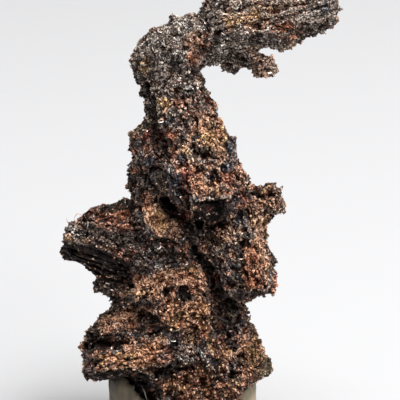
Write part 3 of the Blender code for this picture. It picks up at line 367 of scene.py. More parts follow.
# Lighter and duller places of the crust: across, up, half width, half height, turn in degrees, change.
# Some of them are painted light and shade: the lighter ones on the patch under the slab, the arm's underside
# and the finger brighten places that lie in shade, and the duller one in the cave by the foot is painted
# shade.
TONES_AND_PAINTED_LIGHT = [
    (-3.7, 33.8, 1.3, 2.6, 16, 1.0), (-2.2, 32.0, 1.8, 1.0, -10, 1.0), (-2.4, 23.6, 6.4, 1.8, 17, 0.4),
    (-4.2, 46.8, 1.2, 3.8, 5, 0.5), (6.8, 57.2, 3.8, 1.6, 0, 0.92), (0.0, 60.9, 3.8, 2.6, 8, 0.48),
    (12.6, 56.5, 2.6, 2.2, -20, 1.0), (13.0, 63.6, 6.0, 2.6, 12, 0.5), (10.0, 62.9, 3.2, 1.1, 8, 0.45),
    (19.0, 64.0, 4.0, 2.6, 12, 0.22), (8.4, 60.6, 4.4, 1.8, 0, 0.12), (-0.8, 54.2, 4.0, 2.0, 0, 0.12),
    (-2.2, 59.0, 3.2, 2.6, 20, -0.02), (-2.0, 40.0, 2.6, 2.4, 0, 0.2), (4.6, 37.6, 3.2, 1.2, 0, -0.22),
    (3.6, 46.3, 3.4, 3.2, 0, -0.08), (2.1, 50.7, 2.9, 1.7, 0, -0.2), (8.6, 38.7, 1.9, 2.9, 0, -0.08),
    (13.0, 36.3, 2.4, 2.1, 0, -0.24), (8.0, 27.0, 2.6, 4.8, 0, 0.18), (-7.7, 12.0, 5.0, 1.4, 0, -0.12),
    (-9.6, 19.0, 4.2, 2.6, 20, 0.12), (11.1, 13.0, 2.1, 3.9, 0, -0.44), (1.0, 17.6, 4.2, 3.2, 0, -0.08),
    (11.0, 57.8, 1.6, 0.9, -15, 0.5), (6.2, 64.4, 2.2, 2.0, 0, -0.12), (-1.2, 57.4, 3.2, 0.8, -56, -0.35),
    (4.8, 60.0, 1.5, 1.0, 0, -0.3), (-4.0, 56.4, 1.6, 1.4, 0, 0.25), (1.0, 61.8, 2.0, 1.0, 15, 0.2),
    (0.3, 57.6, 0.9, 0.9, 0, 0.3), (11.4, 26.0, 1.9, 2.4, 0, -0.1), (2.4, 8.2, 7.0, 3.2, 0, -0.25),
    (4.8, 34.0, 3.0, 2.2, 0, -0.25), (10.9, 33.0, 1.4, 2.9, 0, 0.05), (-5.1, 7.3, 2.0, 2.2, 0, -0.4),
]

# Places with few grains, where the smoother skin shows, given as the zones are
BARE = [
    (-13.2, 27.2, 6.0, 1.7, -20, 0.9), (4.7, 34.0, 2.9, 1.7, 0, 0.8), (-11.6, 14.7, 2.9, 1.0, 4, 0.9),
    (16.0, 61.3, 2.6, 1.3, -18, 0.7), (13.5, 63.6, 9.0, 0.5, 14, 0.45), (9.0, 60.8, 4.6, 0.5, 14, 0.4),
    (0.75, 21.9, 1.1, 1.2, 0, 0.9), (-2.1, 22.0, 0.5, 0.7, 0, 0.8), (13.9, 11.0, 1.2, 2.2, -24, 0.8),
    (-11.0, 34.8, 5.0, 0.9, 12, 0.7), (-9.5, 9.4, 5.2, 0.7, 2, 0.7), (12.4, 56.6, 2.8, 1.6, -22, 0.2),
    (-14.0, 25.6, 3.6, 1.2, -28, 0.8),
]
BARE_SMOOTHNESS = 0.7


def sheen(red, green, blue):
    """A colour given in the usual 0 to 255 steps, as the shaders' linear light."""
    steps = np.array([red, green, blue]) / 255.0
    return tuple(np.where(steps <= 0.04045, steps / 12.92, ((steps + 0.055) / 1.055) ** 2.4))


# The crust's finishes: colour from the dullest to the brightest grain, and how common it is outside its zones
FINISHES = {
    "black": {"colours": [(4, 3, 3), (35, 28, 25), (92, 84, 78)], "common": 0.48},
    "tan": {"colours": [(44, 25, 18), (152, 108, 83), (206, 174, 147)], "common": 0.21},
    "copper": {"colours": [(40, 20, 14), (138, 86, 64), (190, 140, 110)], "common": 0.14},
    "gold": {"colours": [(54, 40, 24), (148, 114, 72), (208, 176, 124)], "common": 0.02},
    "grey": {"colours": [(40, 39, 39), (108, 104, 100), (196, 191, 184)], "common": 0.18},
    "blue": {"colours": [(14, 15, 18), (44, 49, 56), (98, 105, 114)], "common": 0.05},
    "red": {"colours": [(28, 13, 11), (90, 45, 36), (156, 90, 70)], "common": 0.05},
    "olive": {"colours": [(42, 36, 28), (120, 106, 84), (184, 168, 138)], "common": 0.05},
    "ash": {"colours": [(60, 53, 48), (104, 94, 86), (170, 157, 145)], "common": 0.04},
}

# Grains of the crust: finish, number on a square millimetre, metallic, roughness, smallest and largest size
GRAIN_SIZES = ("Smallest", "Largest")
GRAIN_SEED = 11
CRUSTS = {
    "soot_grains": ("black", 7.0, 0.15, 0.55, 0.24, 0.5),
    "steel_grains": ("black", 6.5, 0.35, 0.42, 0.18, 0.42),
    "tan_grains": ("tan", 16.0, 0.12, 0.55, 0.2, 0.42),
    "copper_grains": ("copper", 16.0, 0.2, 0.48, 0.2, 0.42),
    "gold_grains": ("gold", 17.0, 0.3, 0.45, 0.2, 0.42),
    "silver_grains": ("grey", 16.0, 0.45, 0.42, 0.18, 0.38),
    "blue_grains": ("blue", 15.0, 0.45, 0.4, 0.2, 0.44),
    "red_grains": ("red", 15.0, 0.25, 0.5, 0.2, 0.42),
    "ash_grains": ("ash", 14.0, 0.15, 0.55, 0.2, 0.44),
    "olive_grains": ("olive", 14.0, 0.15, 0.6, 0.2, 0.4),
}

# Blades of broken layer edge, lying along the layers: the same, but with lengths and thicknesses at the end
BLADE_SIZES = ("Shortest", "Longest", "Thinnest", "Thickest")
BLADE_SEED = 41
BLADES = {
    "soot_blades": ("black", 2.4, 0.3, 0.5, 0.26, 0.62, 0.12, 0.26),
    "tan_blades": ("tan", 1.6, 0.3, 0.5, 0.26, 0.62, 0.12, 0.26),
    "silver_blades": ("grey", 1.4, 0.5, 0.4, 0.26, 0.62, 0.12, 0.26),
}

# Curled wires all over the crust of one finish, given as the grains are
CURL_SEED = 71
CURLS = {
    "silver_curls": ("grey", 0.7, 0.5, 0.4, 0.2, 0.38),
    "tan_curls": ("tan", 0.25, 0.3, 0.5, 0.2, 0.38),
}
CURL_THICKNESS = 0.24  # of the size
CURL_SWEEP = math.radians(150.0)

# Thin ridges draped over the face along its layers and edges. For each finish, how bright they are, and then
# their line, the step to the next one, how many, and the thickness of each.
SEAMS = {
    "black": (0.75, [
        ([(-17.8, 29.3), (-13.6, 28.0), (-8.0, 25.8)], (0.1, -0.41), 8, 0.2),
        ([(-14.4, 9.6), (-9.0, 9.3), (-3.5, 9.7)], (0.0, -0.45), 2, 0.3),
        ([(-7.9, 35.0), (-12.0, 33.8), (-15.8, 32.2)], (0.2, -1.1), 4, 0.26),
        ([(7.2, 32.2), (8.4, 28.0), (9.6, 23.0)], (-0.9, -0.3), 3, 0.26),
        ([(-7.2, 45.0), (-6.8, 40.5), (-6.6, 35.5)], (0.7, -0.3), 3, 0.26),
    ]),
    "tan": (0.7, [
        ([(-13.2, 12.2), (-8.0, 11.8), (-3.4, 12.4)], (0.2, 0.9), 2, 0.17),
        ([(-12.9, 17.0), (-9.0, 16.7), (-2.5, 17.6)], (0.6, 0.8), 1, 0.17),
        ([(9.9, 35.2), (10.8, 30.0), (12.4, 24.2)], (0.9, 0.1), 2, 0.17),
        ([(4.5, 62.5), (8.0, 63.2), (12.0, 64.2)], (0.2, 0.6), 3, 0.17),
        ([(1.8, 37.4), (3.4, 36.7), (5.2, 36.9), (7.6, 37.7)], (0.0, 0.4), 1, 0.2),
        ([(-8.4, 21.6), (-4.6, 23.0), (0.4, 24.3)], (0.3, 0.9), 2, 0.17),
    ]),
    "grey": (0.95, [
        # the ridge down the box's left edge is painted pale as a highlight
        ([(1.5, 37.2), (1.6, 35.6), (1.8, 34.0)], (0.3, -0.1), 1, 0.22),
        ([(17.4, 59.9), (20.5, 60.8), (23.3, 62.4)], (0.0, 0.45), 2, 0.22),
        ([(-3.8, 60.8), (-3.0, 60.0), (-2.2, 59.0)], (0.0, 0.5), 1, 0.16),
        ([(-5.2, 59.2), (-4.4, 57.0), (-3.4, 54.6)], (0.8, 0.4), 4, 0.15),
    ]),
    "ash": (0.8, [
        ([(4.3, 60.6), (9.0, 61.3), (13.5, 62.2)], (0.1, -0.8), 3, 0.24),
        ([(12.5, 65.4), (17.0, 65.9), (22.0, 66.2)], (0.3, -0.9), 4, 0.24),
        ([(5.2, 58.0), (7.5, 57.2), (10.2, 56.6)], (0.1, -0.7), 3, 0.24),
    ]),
    "copper": (0.85, [
        ([(14.0, 62.7), (16.2, 62.3), (18.0, 61.2)], (-0.05, -0.36), 7, 0.2),
        ([(-7.8, 34.4), (-10.5, 33.6), (-13.5, 32.6)], (0.2, -0.9), 2, 0.22),
    ]),
    "red": (0.7, [
        ([(0.2, 41.2), (0.5, 37.6), (1.2, 34.0)], (0.45, 0.0), 2, 0.24),
    ]),
}
SEAM_STEP = 0.3
SEAM_JITTER = (0.7, 0.2)  # size and reach
SEAM_GAPS = (0.9, -0.12)  # a ridge is broken off where its noise of this size lies below the second number
SEAM_LIFT = 0.35  # of the thickness
SEAM_SHADES = (0.4, 1.3, -0.15)  # size and contrast of brighter and duller places, and a shift of them all
SEAM_METALLIC, SEAM_ROUGHNESS = 0.3, 0.5
ROD_END, ROD_MIDDLE, ROD_UNEVENNESS = 0.4, 0.8, 0.5  # shares of a rod's thickness

# Wires that stand free of the face: line, thickness, how far the ends stand off the skin, and finish
WIRES = [
    ([(-15.5, 32.3), (-15.9, 33.3), (-15.4, 34.0), (-14.7, 33.7), (-14.8, 32.8)], 0.16, 0.3, "tan"),
    ([(-16.3, 31.7), (-16.8, 32.6), (-17.1, 33.4)], 0.15, 0.2, "grey"),
    ([(-7.1, 8.7), (-6.4, 7.4), (-5.7, 5.8)], 0.14, 0.9, "grey"),
    ([(-5.9, 8.4), (-5.3, 7.2), (-4.9, 5.8)], 0.14, 0.9, "grey"),
    ([(-9.3, 36.2), (-9.6, 36.9), (-9.2, 37.3)], 0.12, 0.2, "tan"),
    ([(2.5, 64.2), (2.9, 65.0), (3.3, 65.2)], 0.12, 0.2, "grey"),
]


def smooth_step(low, high, value):
    share = np.clip((value - low) / (high - low), 0.0, 1.0)
    return share * share * (3.0 - 2.0 * share)


def noise_at(points, size, offset=(0.0, 0.0, 0.0), kind=noise.noise):
    """Noise of the given size in millimetres, at points in metres."""
    shift = Vector(offset)
    return np.array([kind(Vector(point / MM) / size + shift) for point in points])


def face_places(points):
    """Across and up on the face, in millimetres, of points in metres."""
    across = points[:, 0] / MM
    up = (points[:, 1] * TILT_SIN + points[:, 2] * TILT_COS) / MM
    away = (points[:, 1] * TILT_COS - points[:, 2] * TILT_SIN) / MM
    share = 1.0 - (TRUNK_DEPTH - away) / VIEW_DISTANCE
    return VIEW_MIDDLE[0] + (across - VIEW_MIDDLE[0]) / share, VIEW_MIDDLE[1] + (up - VIEW_MIDDLE[1]) / share


def face_vector(across, up):
    """The way across and up on the face, as a vector of the room."""
    return Vector((across, up * TILT_SIN, up * TILT_COS))


def facing(normals):
    """1 where the surface faces the viewer, 0 where it turns away."""
    return smooth_step(*FACING, -normals[:, 1] * TILT_COS + normals[:, 2] * TILT_SIN)


def from_line(across, up, line):
    """Distance from places to a line on the face, and on which side: positive on the right hand."""
    nearest, side = np.full(len(across), 1e9), np.ones(len(across))
    for (u0, v0), (u1, v1) in zip(line, line[1:]):
        length = math.hypot(u1 - u0, v1 - v0)
        along_u, along_v = (u1 - u0) / length, (v1 - v0) / length
        along = np.clip((across - u0) * along_u + (up - v0) * along_v, 0.0, length)
        distance = np.hypot(across - u0 - along * along_u, up - v0 - along * along_v)
        right = np.sign((across - u0) * along_v - (up - v0) * along_u)
        side = np.where(distance < nearest, right, side)
        nearest = np.minimum(nearest, distance)
    return nearest, side


def side_by_side(line, step, count):
    """The line repeated, each time a step further on."""
    return [[(u + step[0] * number, v + step[1] * number) for u, v in line] for number in range(count)]


def carved_relief(across, up):
    """Height of all the strokes and steps at places on the face, in millimetres."""
    total = np.zeros(len(across))
    strokes = list(STROKES.values())
    for line, step, count, width, height in STROKE_ROWS.values():
        strokes += [(shifted, width, height) for shifted in side_by_side(line, step, count)]
    for line, width, height, *square in strokes:
        reach = from_line(across, up, line)[0] / (width / 2)
        if square:
            total += height * (1.0 - smooth_step(*SQUARE_EDGE, reach))
        else:
            total += height * np.exp(-STROKE_FALL * reach * reach)
    for line, depth, fade in STEPS.values():
        distance, side = from_line(across, up, line)
        wall = smooth_step(-STEP_EDGE, STEP_EDGE, distance * side)
        total -= depth * wall * np.exp(-((distance / fade) ** 2))
    return total


def outline_swell(across, up):
    """How far the skin stands out, in millimetres, where the outline is filled out or taken in."""
    total = np.zeros(len(across))
    for middle_u, middle_v, reach, out in OUTLINE.values():
        total += out * np.exp(-(np.hypot(across - middle_u, up - middle_v) / reach) ** 2)
    return total


def layer_field(across, up):
    """The height across the layers, their direction and how strongly they show, at places on the face."""
    weights = np.full(len(across), 1e-6)
    height, double_cos, double_sin, strength = (np.zeros(len(across)) for _ in range(4))
    for middle_u, middle_v, reach, degrees, shown in LAYERS.values():
        distance = np.hypot(across - middle_u, up - middle_v) / reach
        weight = np.exp(-LAYER_BLEND * distance * distance)
        rise = math.radians(degrees)
        height += weight * (-math.sin(rise) * (across - middle_u) + math.cos(rise) * (up - middle_v))
        double_cos += weight * math.cos(2 * rise)
        double_sin += weight * math.sin(2 * rise)
        strength += weight * shown
        weights += weight
    return height / weights, np.arctan2(double_sin, double_cos) / 2, strength / weights


def layer_relief(points, height, strength):
    """Height of the layers' broken edges in millimetres: each slopes out and drops back."""
    bend = noise_at(points, LAYER_BEND_SIZE, (2.0, 4.0, 6.0))
    along = (height + bend * LAYER_BEND) / LAYER_SPACING
    along -= np.floor(along)
    profile = np.minimum(along / LAYER_FACE, (1.0 - along) / (1.0 - LAYER_FACE))
    return LAYER_RELIEF * strength * (profile - 0.5)


def crust_relief(point):
    """Height of the crust at a point in millimetres: tilted blocks at three sizes, lumps and pits."""
    height = LUMP_HEIGHT * noise.noise(point / LUMP_SIZE)
    for size, step, tilt in BLOCKS:
        distances, middles = noise.voronoi(point / size)
        middle = middles[0]
        lean = noise.cell_vector(middle * 7.7) * 2.0 - Vector((1.0, 1.0, 1.0))
        height += step * (noise.cell(middle * 5.3) - 0.5)
        height += tilt * lean.dot(point / size - middle)
        height -= GAP_DEPTH * max(0.0, 1.0 - (distances[1] - distances[0]) / GAP_WIDTH)
    pit = noise.voronoi(point / PIT_SIZE + Vector((4.0, 9.0, 2.0)))[0][0]
    height -= PIT_DEPTH * max(0.0, PIT_REACH - pit) / PIT_REACH
    return height


def zone_strength(across, up, zone):
    middle_u, middle_v, half_width, half_height, turn, strength = zone
    cosine, sine = math.cos(math.radians(turn)), math.sin(math.radians(turn))
    from_u, from_v = across - middle_u, up - middle_v
    reach_u = (from_u * cosine + from_v * sine) / half_width
    reach_v = (from_v * cosine - from_u * sine) / half_height
    return strength * (1.0 - smooth_step(*ZONE_EDGE, np.hypot(reach_u, reach_v)))


def band_strength(across, up, line, half_width, strength):
    return strength * (1.0 - smooth_step(*BAND_EDGE, from_line(across, up, line)[0] / half_width))


def finish_shares(points, normals, carved):
    """How much of each finish the crust has at each point: in zones on the face, in drifts elsewhere."""
    across, up = face_places(points)
    for size, reach in ZONE_WAVES:
        wave = noise_at(points, size, kind=noise.noise_vector)
        across = across + reach * wave[:, 0]
        up = up + reach * wave[:, 1]
    zones = {}
    for name in FINISHES:
        strengths = [zone_strength(across, up, zone) for zone in ZONES[name]]
        strengths += [band_strength(across, up, *band) for band in BANDS.get(name, [])]
        zones[name] = np.max(strengths, axis=0) * facing(normals)
    flecks = FLECK_STRENGTH * smooth_step(*FLECK_RANGE, noise_at(points, FLECK_SIZE, (7.0, 2.0, 5.0)))
    soot = np.maximum(flecks, CRACK_SOOT * smooth_step(*CRACK_DEPTHS, -carved))
    zones["black"] = np.maximum(zones["black"], soot)
    strongest = np.minimum(np.max(list(zones.values()), axis=0), 1.0)
    patches, common = {}, {}
    for number, (name, finish) in enumerate(FINISHES.items()):
        drift = noise_at(points, DRIFT_SIZE, (number * 13.1, 5.0, -number * 7.7))
        patches[name] = noise_at(points, PATCH_SIZE, (-number * 9.3, number * 4.1, 17.0))
        common[name] = finish["common"] * np.exp(DRIFT_CONTRAST * drift + PATCH_CONTRAST * patches[name])
    all_common = sum(common.values())
    shares = {}
    for name in FINISHES:
        outside = common[name] / all_common * (1.0 - ZONE_HOLD * strongest)
        shares[name] = outside + zones[name] * np.exp(ZONE_CONTRAST * patches[name])
    total = sum(shares.values())
    return {name: share / total for name, share in shares.items()}


def evaluated_mesh(made):
    bpy.context.view_layer.update()
    graph = bpy.context.evaluated_depsgraph_get()
    return bpy.data.meshes.new_from_object(made.evaluated_get(graph))


def new_object(name, data):
    made = bpy.data.objects.new(name, data)
    bpy.context.scene.collection.objects.link(made)
    return made


def mesh_from(bm, name):
    mesh = bpy.data.meshes.new(name)
    bm.to_mesh(mesh)
    bm.free()
    return mesh


def fine_mesh(name, node, voxel, smoothing):
    """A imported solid's form in small even faces, its own facets smoothed away."""
    bm = bmesh.new()
    bm.from_mesh(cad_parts[node].data)
    bmesh.ops.remove_doubles(bm, verts=bm.verts, dist=0.0005 * MM)
    rough = new_object(name, mesh_from(bm, name))
    remesh = rough.modifiers.new("fine", "REMESH")
    remesh.mode = "VOXEL"
    remesh.voxel_size = voxel
    rough.modifiers.new("soften", "SMOOTH").iterations = smoothing
    mesh = evaluated_mesh(rough)
    bpy.data.objects.remove(rough)
    return mesh


def vectors_of(rows, field):
    """The vectors of one field of a mesh's rows, as an array."""
    found = np.empty(len(rows) * 3, np.float32)
    rows.foreach_get(field, found)
    return found.reshape(-1, 3).astype(float)


def move_to(mesh, places):
    mesh.vertices.foreach_set("co", np.array(places, np.float32).ravel())
    mesh.update()


def store(mesh, name, values, kind="FLOAT"):
    attribute = mesh.attributes.new(name, kind, "POINT")
    field = {"FLOAT": "value", "FLOAT_COLOR": "color", "FLOAT_VECTOR": "vector"}[kind]
    attribute.data.foreach_set(field, np.asarray(values, np.float32).ravel())


def neighbour_mean(mesh, values, rounds):
    """Values averaged over each vertex's neighbours, round after round."""
    edges = np.empty(len(mesh.edges) * 2, np.int32)
    mesh.edges.foreach_get("vertices", edges)
    starts, ends = edges[0::2], edges[1::2]
    count = np.bincount(edges, minlength=len(values)).astype(float)
    for _ in range(rounds):
        total = np.bincount(starts, values[ends], len(values))
        total += np.bincount(ends, values[starts], len(values))
        values = total / np.maximum(count, 1.0)
    return values


def glow_of(points, normals, proud):
    """How bright the crust is at each point, from 0 to 1, with the light and shade that some tones paint.
    What stands proud is made brighter.
    """
    total = MIDDLE_GLOW + PROUD_GLOW * np.clip(proud, -1.0, 1.0)
    across, up = face_places(points)
    seen = facing(normals)
    # some of these tones are painted light and shade
    for tone in TONES_AND_PAINTED_LIGHT:
        total += zone_strength(across, up, tone) * seen
    for size, change in GLOW_SIZES:
        total += change * noise_at(points, size, (3.0, 8.0, size))
    return np.clip(total, 0.0, 1.0)


def crust_colours(points, shares, glow):
    """The skin's colour at each point: its finishes mixed by their shares, between dull and bright, brighter
    with the glow and its painted light.
    """
    specks = noise_at(points, SPECK_SIZE, (31.0, 7.0, 3.0), noise.cell)
    bright = np.clip(SPECK_CONTRAST * specks + SPECK_GLOW * (glow - SPECK_START), 0.0, 1.0)[:, None]
    colours = np.zeros((len(points), 4))
    colours[:, 3] = 1.0
    for name, finish in FINISHES.items():
        dull, middle, _ = (np.array(sheen(*colour)) for colour in finish["colours"])
        colours[:, :3] += shares[name][:, None] * (dull + (middle - dull) * bright)
    return colours


def hue_of(colours):
    """Colours brought to the same brightness."""
    return colours / np.maximum(colours @ LUMINANCE, 1e-4)[:, None]


def finish_hue(name):
    return hue_of(np.array([sheen(*FINISHES[name]["colours"][1])]))


def neighbourhood_tint(mesh, shares):
    """The hue of the crust round each point."""
    mixed = sum(share[:, None] * finish_hue(name) for name, share in shares.items())
    spread = [neighbour_mean(mesh, mixed[:, channel], TINT_SPREAD) for channel in range(3)]
    tint = np.ones((len(mixed), 4))
    tint[:, :3] = hue_of(np.stack(spread, axis=1))
    return tint


def silver_skin():
    """The silver's fine skin, carved, with the values its grains and its colours are made by."""
    mesh = fine_mesh("silver_skin", "silver_mass", SKIN_VOXEL, SKIN_SMOOTHING)
    points, normals = vectors_of(mesh.vertices, "co"), vectors_of(mesh.vertex_normals, "vector")
    across, up = face_places(points)
    carved = carved_relief(across, up) * facing(normals)
    height, rise, strength = layer_field(across, up)
    bare = np.max([zone_strength(across, up, zone) for zone in BARE], axis=0)
    crust = np.array([crust_relief(Vector(point / MM)) for point in points]) * (1.0 - BARE_SMOOTHNESS * bare)
    crust += layer_relief(points, height, strength) * (1.0 - bare)
    out = crust + outline_swell(across, up) - SKIN_INSET
    towards_viewer = np.array([0.0, -TILT_COS, TILT_SIN])
    move_to(mesh, points + (normals * out[:, None] + towards_viewer * carved[:, None]) * MM)
    # Painted shade: the colour is darkened, and the shine taken away, where the skin lies below its
    # surroundings
    heights = crust + carved
    wide_rounds, open_depth, full_depth = WIDE_RECESS
    recess = smooth_step(open_depth, full_depth, neighbour_mean(mesh, heights, wide_rounds) - heights)
    narrow_rounds, open_depth, full_depth, darkest = NARROW_RECESS
    proud = (heights - neighbour_mean(mesh, heights, narrow_rounds)) / PROUD_HEIGHT
    recess = np.maximum(recess, darkest * smooth_step(open_depth, full_depth, -proud))
    shares = finish_shares(points, normals, carved)
    glow = glow_of(points, normals, proud)
    for name, share in shares.items():
        store(mesh, name, share * (1.0 - bare))
    for name in sorted({row[0] for row in BLADES.values()}):
        store(mesh, name + "_layers", shares[name] * strength * (1.0 - bare))
    run = np.stack([np.cos(rise), np.sin(rise) * TILT_SIN, np.sin(rise) * TILT_COS], axis=1)
    store(mesh, "layer_run", run, "FLOAT_VECTOR")
    store(mesh, "recess", recess)
    store(mesh, "glow", glow)
    store(mesh, "tint", neighbourhood_tint(mesh, shares), "FLOAT_COLOR")
    store(mesh, "crust", crust_colours(points, shares, glow), "FLOAT_COLOR")
    return new_object("silver_skin", mesh)


def add_node(tree, kind, inputs=None, **settings):
    """A node with its settings, its inputs given as values or as the sockets that feed them."""
    made = tree.nodes.new(kind)
    for key, value in settings.items():
        setattr(made, key, value)
    for key, value in (inputs or {}).items():
        if isinstance(value, bpy.types.NodeSocket):
            tree.links.new(value, made.inputs[key])
        else:
            made.inputs[key].default_value = value
    return made


def result_of(tree, kind, inputs=None, **settings):
    """The first output of a new node."""
    return add_node(tree, kind, inputs, **settings).outputs[0]


def surface_value(tree, name, kind="FLOAT"):
    """A value stored on the surface, in a geometry tree."""
    return result_of(tree, "GeometryNodeInputNamedAttribute", {"Name": name}, data_type=kind)


def random_value(tree, given, low, high):
    """A random number for each copy between two values, or a random vector between two vectors."""
    kind, low_socket, high_socket, result = "FLOAT", 2, 3, 1
    if isinstance(low, tuple):
        kind, low_socket, high_socket, result = "FLOAT_VECTOR", 0, 1, 0
    inputs = {low_socket: low, high_socket: high, "Seed": given["Seed"]}
    return add_node(tree, "FunctionNodeRandomValue", inputs, data_type=kind).outputs[result]


def random_turn(tree, given, rotation, low, high):
    """A rotation turned further by random angles about its own axes."""
    lean = result_of(tree, "FunctionNodeEulerToRotation", {0: random_value(tree, given, low, high)})
    inputs = {"Rotation": rotation, "Rotate By": lean}
    return result_of(tree, "FunctionNodeRotateRotation", inputs, rotation_space="LOCAL")


def random_scale(tree, given, low, high):
    """A size between the smallest and the largest, squashed at random along each axis."""
    squash = random_value(tree, given, low, high)
    size = random_value(tree, given, given["Smallest"], given["Largest"])
    return result_of(tree, "ShaderNodeVectorMath", {0: squash, "Scale": size}, operation="SCALE")


def three_sided(tree, top, bottom, depth):
    inputs = {"Vertices": 3, "Radius Top": top, "Radius Bottom": bottom, "Depth": depth}
    return result_of(tree, "GeometryNodeMeshCone", inputs, fill_type="NGON")


def standing_grain(tree, given, upright):
    """A small pointed crystal with its foot in the surface."""
    crystal = three_sided(tree, 0.0, 0.62, 0.62)
    sunk = result_of(tree, "GeometryNodeTransform", {"Geometry": crystal, "Translation": (0.0, 0.0, -0.2)})
    rotation = random_turn(tree, given, upright, (-0.7, -0.7, 0.0), (0.7, 0.7, 2 * math.pi))
    return sunk, rotation, random_scale(tree, given, (0.65, 0.65, 0.7), (1.3, 1.3, 1.35))


def lying_blade(tree, given, upright):
    """A thin three-sided blade that lies along the layers."""
    inputs = {
        "Geometry": three_sided(tree, 0.25, 0.6, 1.0),
        "Translation": (-0.5, 0.0, 0.15),
        "Rotation": (0.0, math.pi / 2, 0.0),
    }
    lying = result_of(tree, "GeometryNodeTransform", inputs)
    inputs = {"Rotation": upright, "Vector": surface_value(tree, "layer_run", "FLOAT_VECTOR")}
    along = result_of(tree, "FunctionNodeAlignRotationToVector", inputs, axis="X", pivot_axis="Z")
    rotation = random_turn(tree, given, along, (-0.9, -0.25, -0.4), (0.9, 0.0, 0.4))
    thickness = random_value(tree, given, given["Thinnest"], given["Thickest"])
    length = random_value(tree, given, given["Shortest"], given["Longest"])
    scale = result_of(tree, "ShaderNodeCombineXYZ", {"X": length, "Y": thickness, "Z": thickness})
    return lying, rotation, scale


def standing_curl(tree, given, upright):
    """A short bent wire."""
    inputs = {"Resolution": 6, "Radius": 1.0, "Sweep Angle": CURL_SWEEP}
    bend = result_of(tree, "GeometryNodeCurveArc", inputs)
    inputs = {"Resolution": 3, "Radius": CURL_THICKNESS}
    section = result_of(tree, "GeometryNodeCurvePrimitiveCircle", inputs)
    inputs = {"Curve": bend, "Profile Curve": section, "Fill Caps": True}
    wire = result_of(tree, "GeometryNodeCurveToMesh", inputs)
    raised = result_of(tree, "GeometryNodeTransform", {"Geometry": wire, "Rotation": (math.pi / 2, 0.0, 0.0)})
    rotation = random_turn(tree, given, upright, (-0.9, -0.9, 0.0), (0.9, 0.9, 2 * math.pi))
    return raised, rotation, random_scale(tree, given, (0.7, 1.0, 0.6), (1.3, 1.0, 1.2))


SCATTER_INPUTS = {
    "Geometry": "NodeSocketGeometry",
    "Share Attribute": "NodeSocketString",
    "Pieces Per Area": "NodeSocketFloat",
    "Seed": "NodeSocketInt",
    "Finish": "NodeSocketMaterial",
}


def scatter_tree(name, sizes, stand):
    """A tree that stands copies of a shape on a surface, by the share of one finish at each place.

    Each copy takes its shade from the glow of its place, painted light included. All are made real, with flat
    faces and the finish.
    """
    tree = bpy.data.node_groups.new(name, "GeometryNodeTree")
    for label, kind in {**SCATTER_INPUTS, **dict.fromkeys(sizes, "NodeSocketFloat")}.items():
        tree.interface.new_socket(label, in_out="INPUT", socket_type=kind)
    tree.interface.new_socket("Geometry", in_out="OUTPUT", socket_type="NodeSocketGeometry")
    given = add_node(tree, "NodeGroupInput").outputs
    share = surface_value(tree, given["Share Attribute"])
    density = result_of(tree, "ShaderNodeMath", {0: share, 1: given["Pieces Per Area"]}, operation="MULTIPLY")
    inputs = {"Mesh": given["Geometry"], "Density": density, "Seed": given["Seed"]}
    spots = add_node(tree, "GeometryNodeDistributePointsOnFaces", inputs, distribute_method="RANDOM").outputs
    shape, rotation, scale = stand(tree, given, spots["Rotation"])
    inputs = {"Points": spots["Points"], "Instance": shape, "Rotation": rotation, "Scale": scale}
    stood = result_of(tree, "GeometryNodeInstanceOnPoints", inputs)
    inputs = {0: random_value(tree, given, -0.5, 0.5), 1: SHADE_SPREAD, 2: surface_value(tree, "glow")}
    shade = result_of(tree, "ShaderNodeMath", inputs, operation="MULTIPLY_ADD", use_clamp=True)
    inputs = {"Geometry": stood, "Name": "shade", "Value": shade}
    shaded = result_of(tree, "GeometryNodeStoreNamedAttribute", inputs, data_type="FLOAT", domain="INSTANCE")
    real = result_of(tree, "GeometryNodeRealizeInstances", {"Geometry": shaded})
    flat = result_of(tree, "GeometryNodeSetShadeSmooth", {"Geometry": real, "Shade Smooth": False})
    coated = result_of(tree, "GeometryNodeSetMaterial", {"Geometry": flat, "Material": given["Finish"]})
    add_node(tree, "NodeGroupOutput", {"Geometry": coated})
    return tree


def with_tree(made, tree, values):
    """The mesh that a geometry tree makes of an object, its named inputs set."""
    modifier = made.modifiers.new(tree.name, "NODES")
    modifier.node_group = tree
    for item in tree.interface.items_tree:
        if item.in_out == "INPUT" and item.name in values:
            modifier[item.identifier] = values[item.name]
    mesh = evaluated_mesh(made)
    made.modifiers.remove(modifier)
    return mesh


def keep_attributes(mesh, kept):
    """Drops the values that were only stored to make the pieces."""
    layers = [name + "_layers" for name in FINISHES]
    for name in (*FINISHES, *layers, "crust", "glow", "layer_run", "recess", "tint"):
        if name in mesh.attributes and name not in kept:
            mesh.attributes.remove(mesh.attributes[name])


def scattered(skin, table, sizes, tree, first_seed, suffix=""):
    """One piece to each row of a table: what the tree stands on the skin by the share of the row's finish."""
    made = []
    for seed, (name, row) in enumerate(table.items(), first_seed):
        finish, density, metallic, roughness, *measures = row
        values = {label: measure * MM for label, measure in zip(sizes, measures)}
        values["Share Attribute"] = finish + suffix
        values["Pieces Per Area"] = density / MM**2
        values["Seed"] = seed
        values["Finish"] = grain_material(name, finish, metallic, roughness)
        mesh = with_tree(skin, tree, values)
        mesh.name = name
        keep_attributes(mesh, ("shade", "recess", "tint"))
        made.append(new_object(name, mesh))
    return made


def on_face(u, v, surface):
    """The point of the surface seen at a place of the face, and the direction back to the viewer."""
    place = VIEW_TARGET + face_vector(u - VIEW_MIDDLE[0], v - VIEW_MIDDLE[1]) * MM
    ahead = (place - VIEWER).normalized()
    return surface.ray_cast(VIEWER, ahead)[0], -ahead


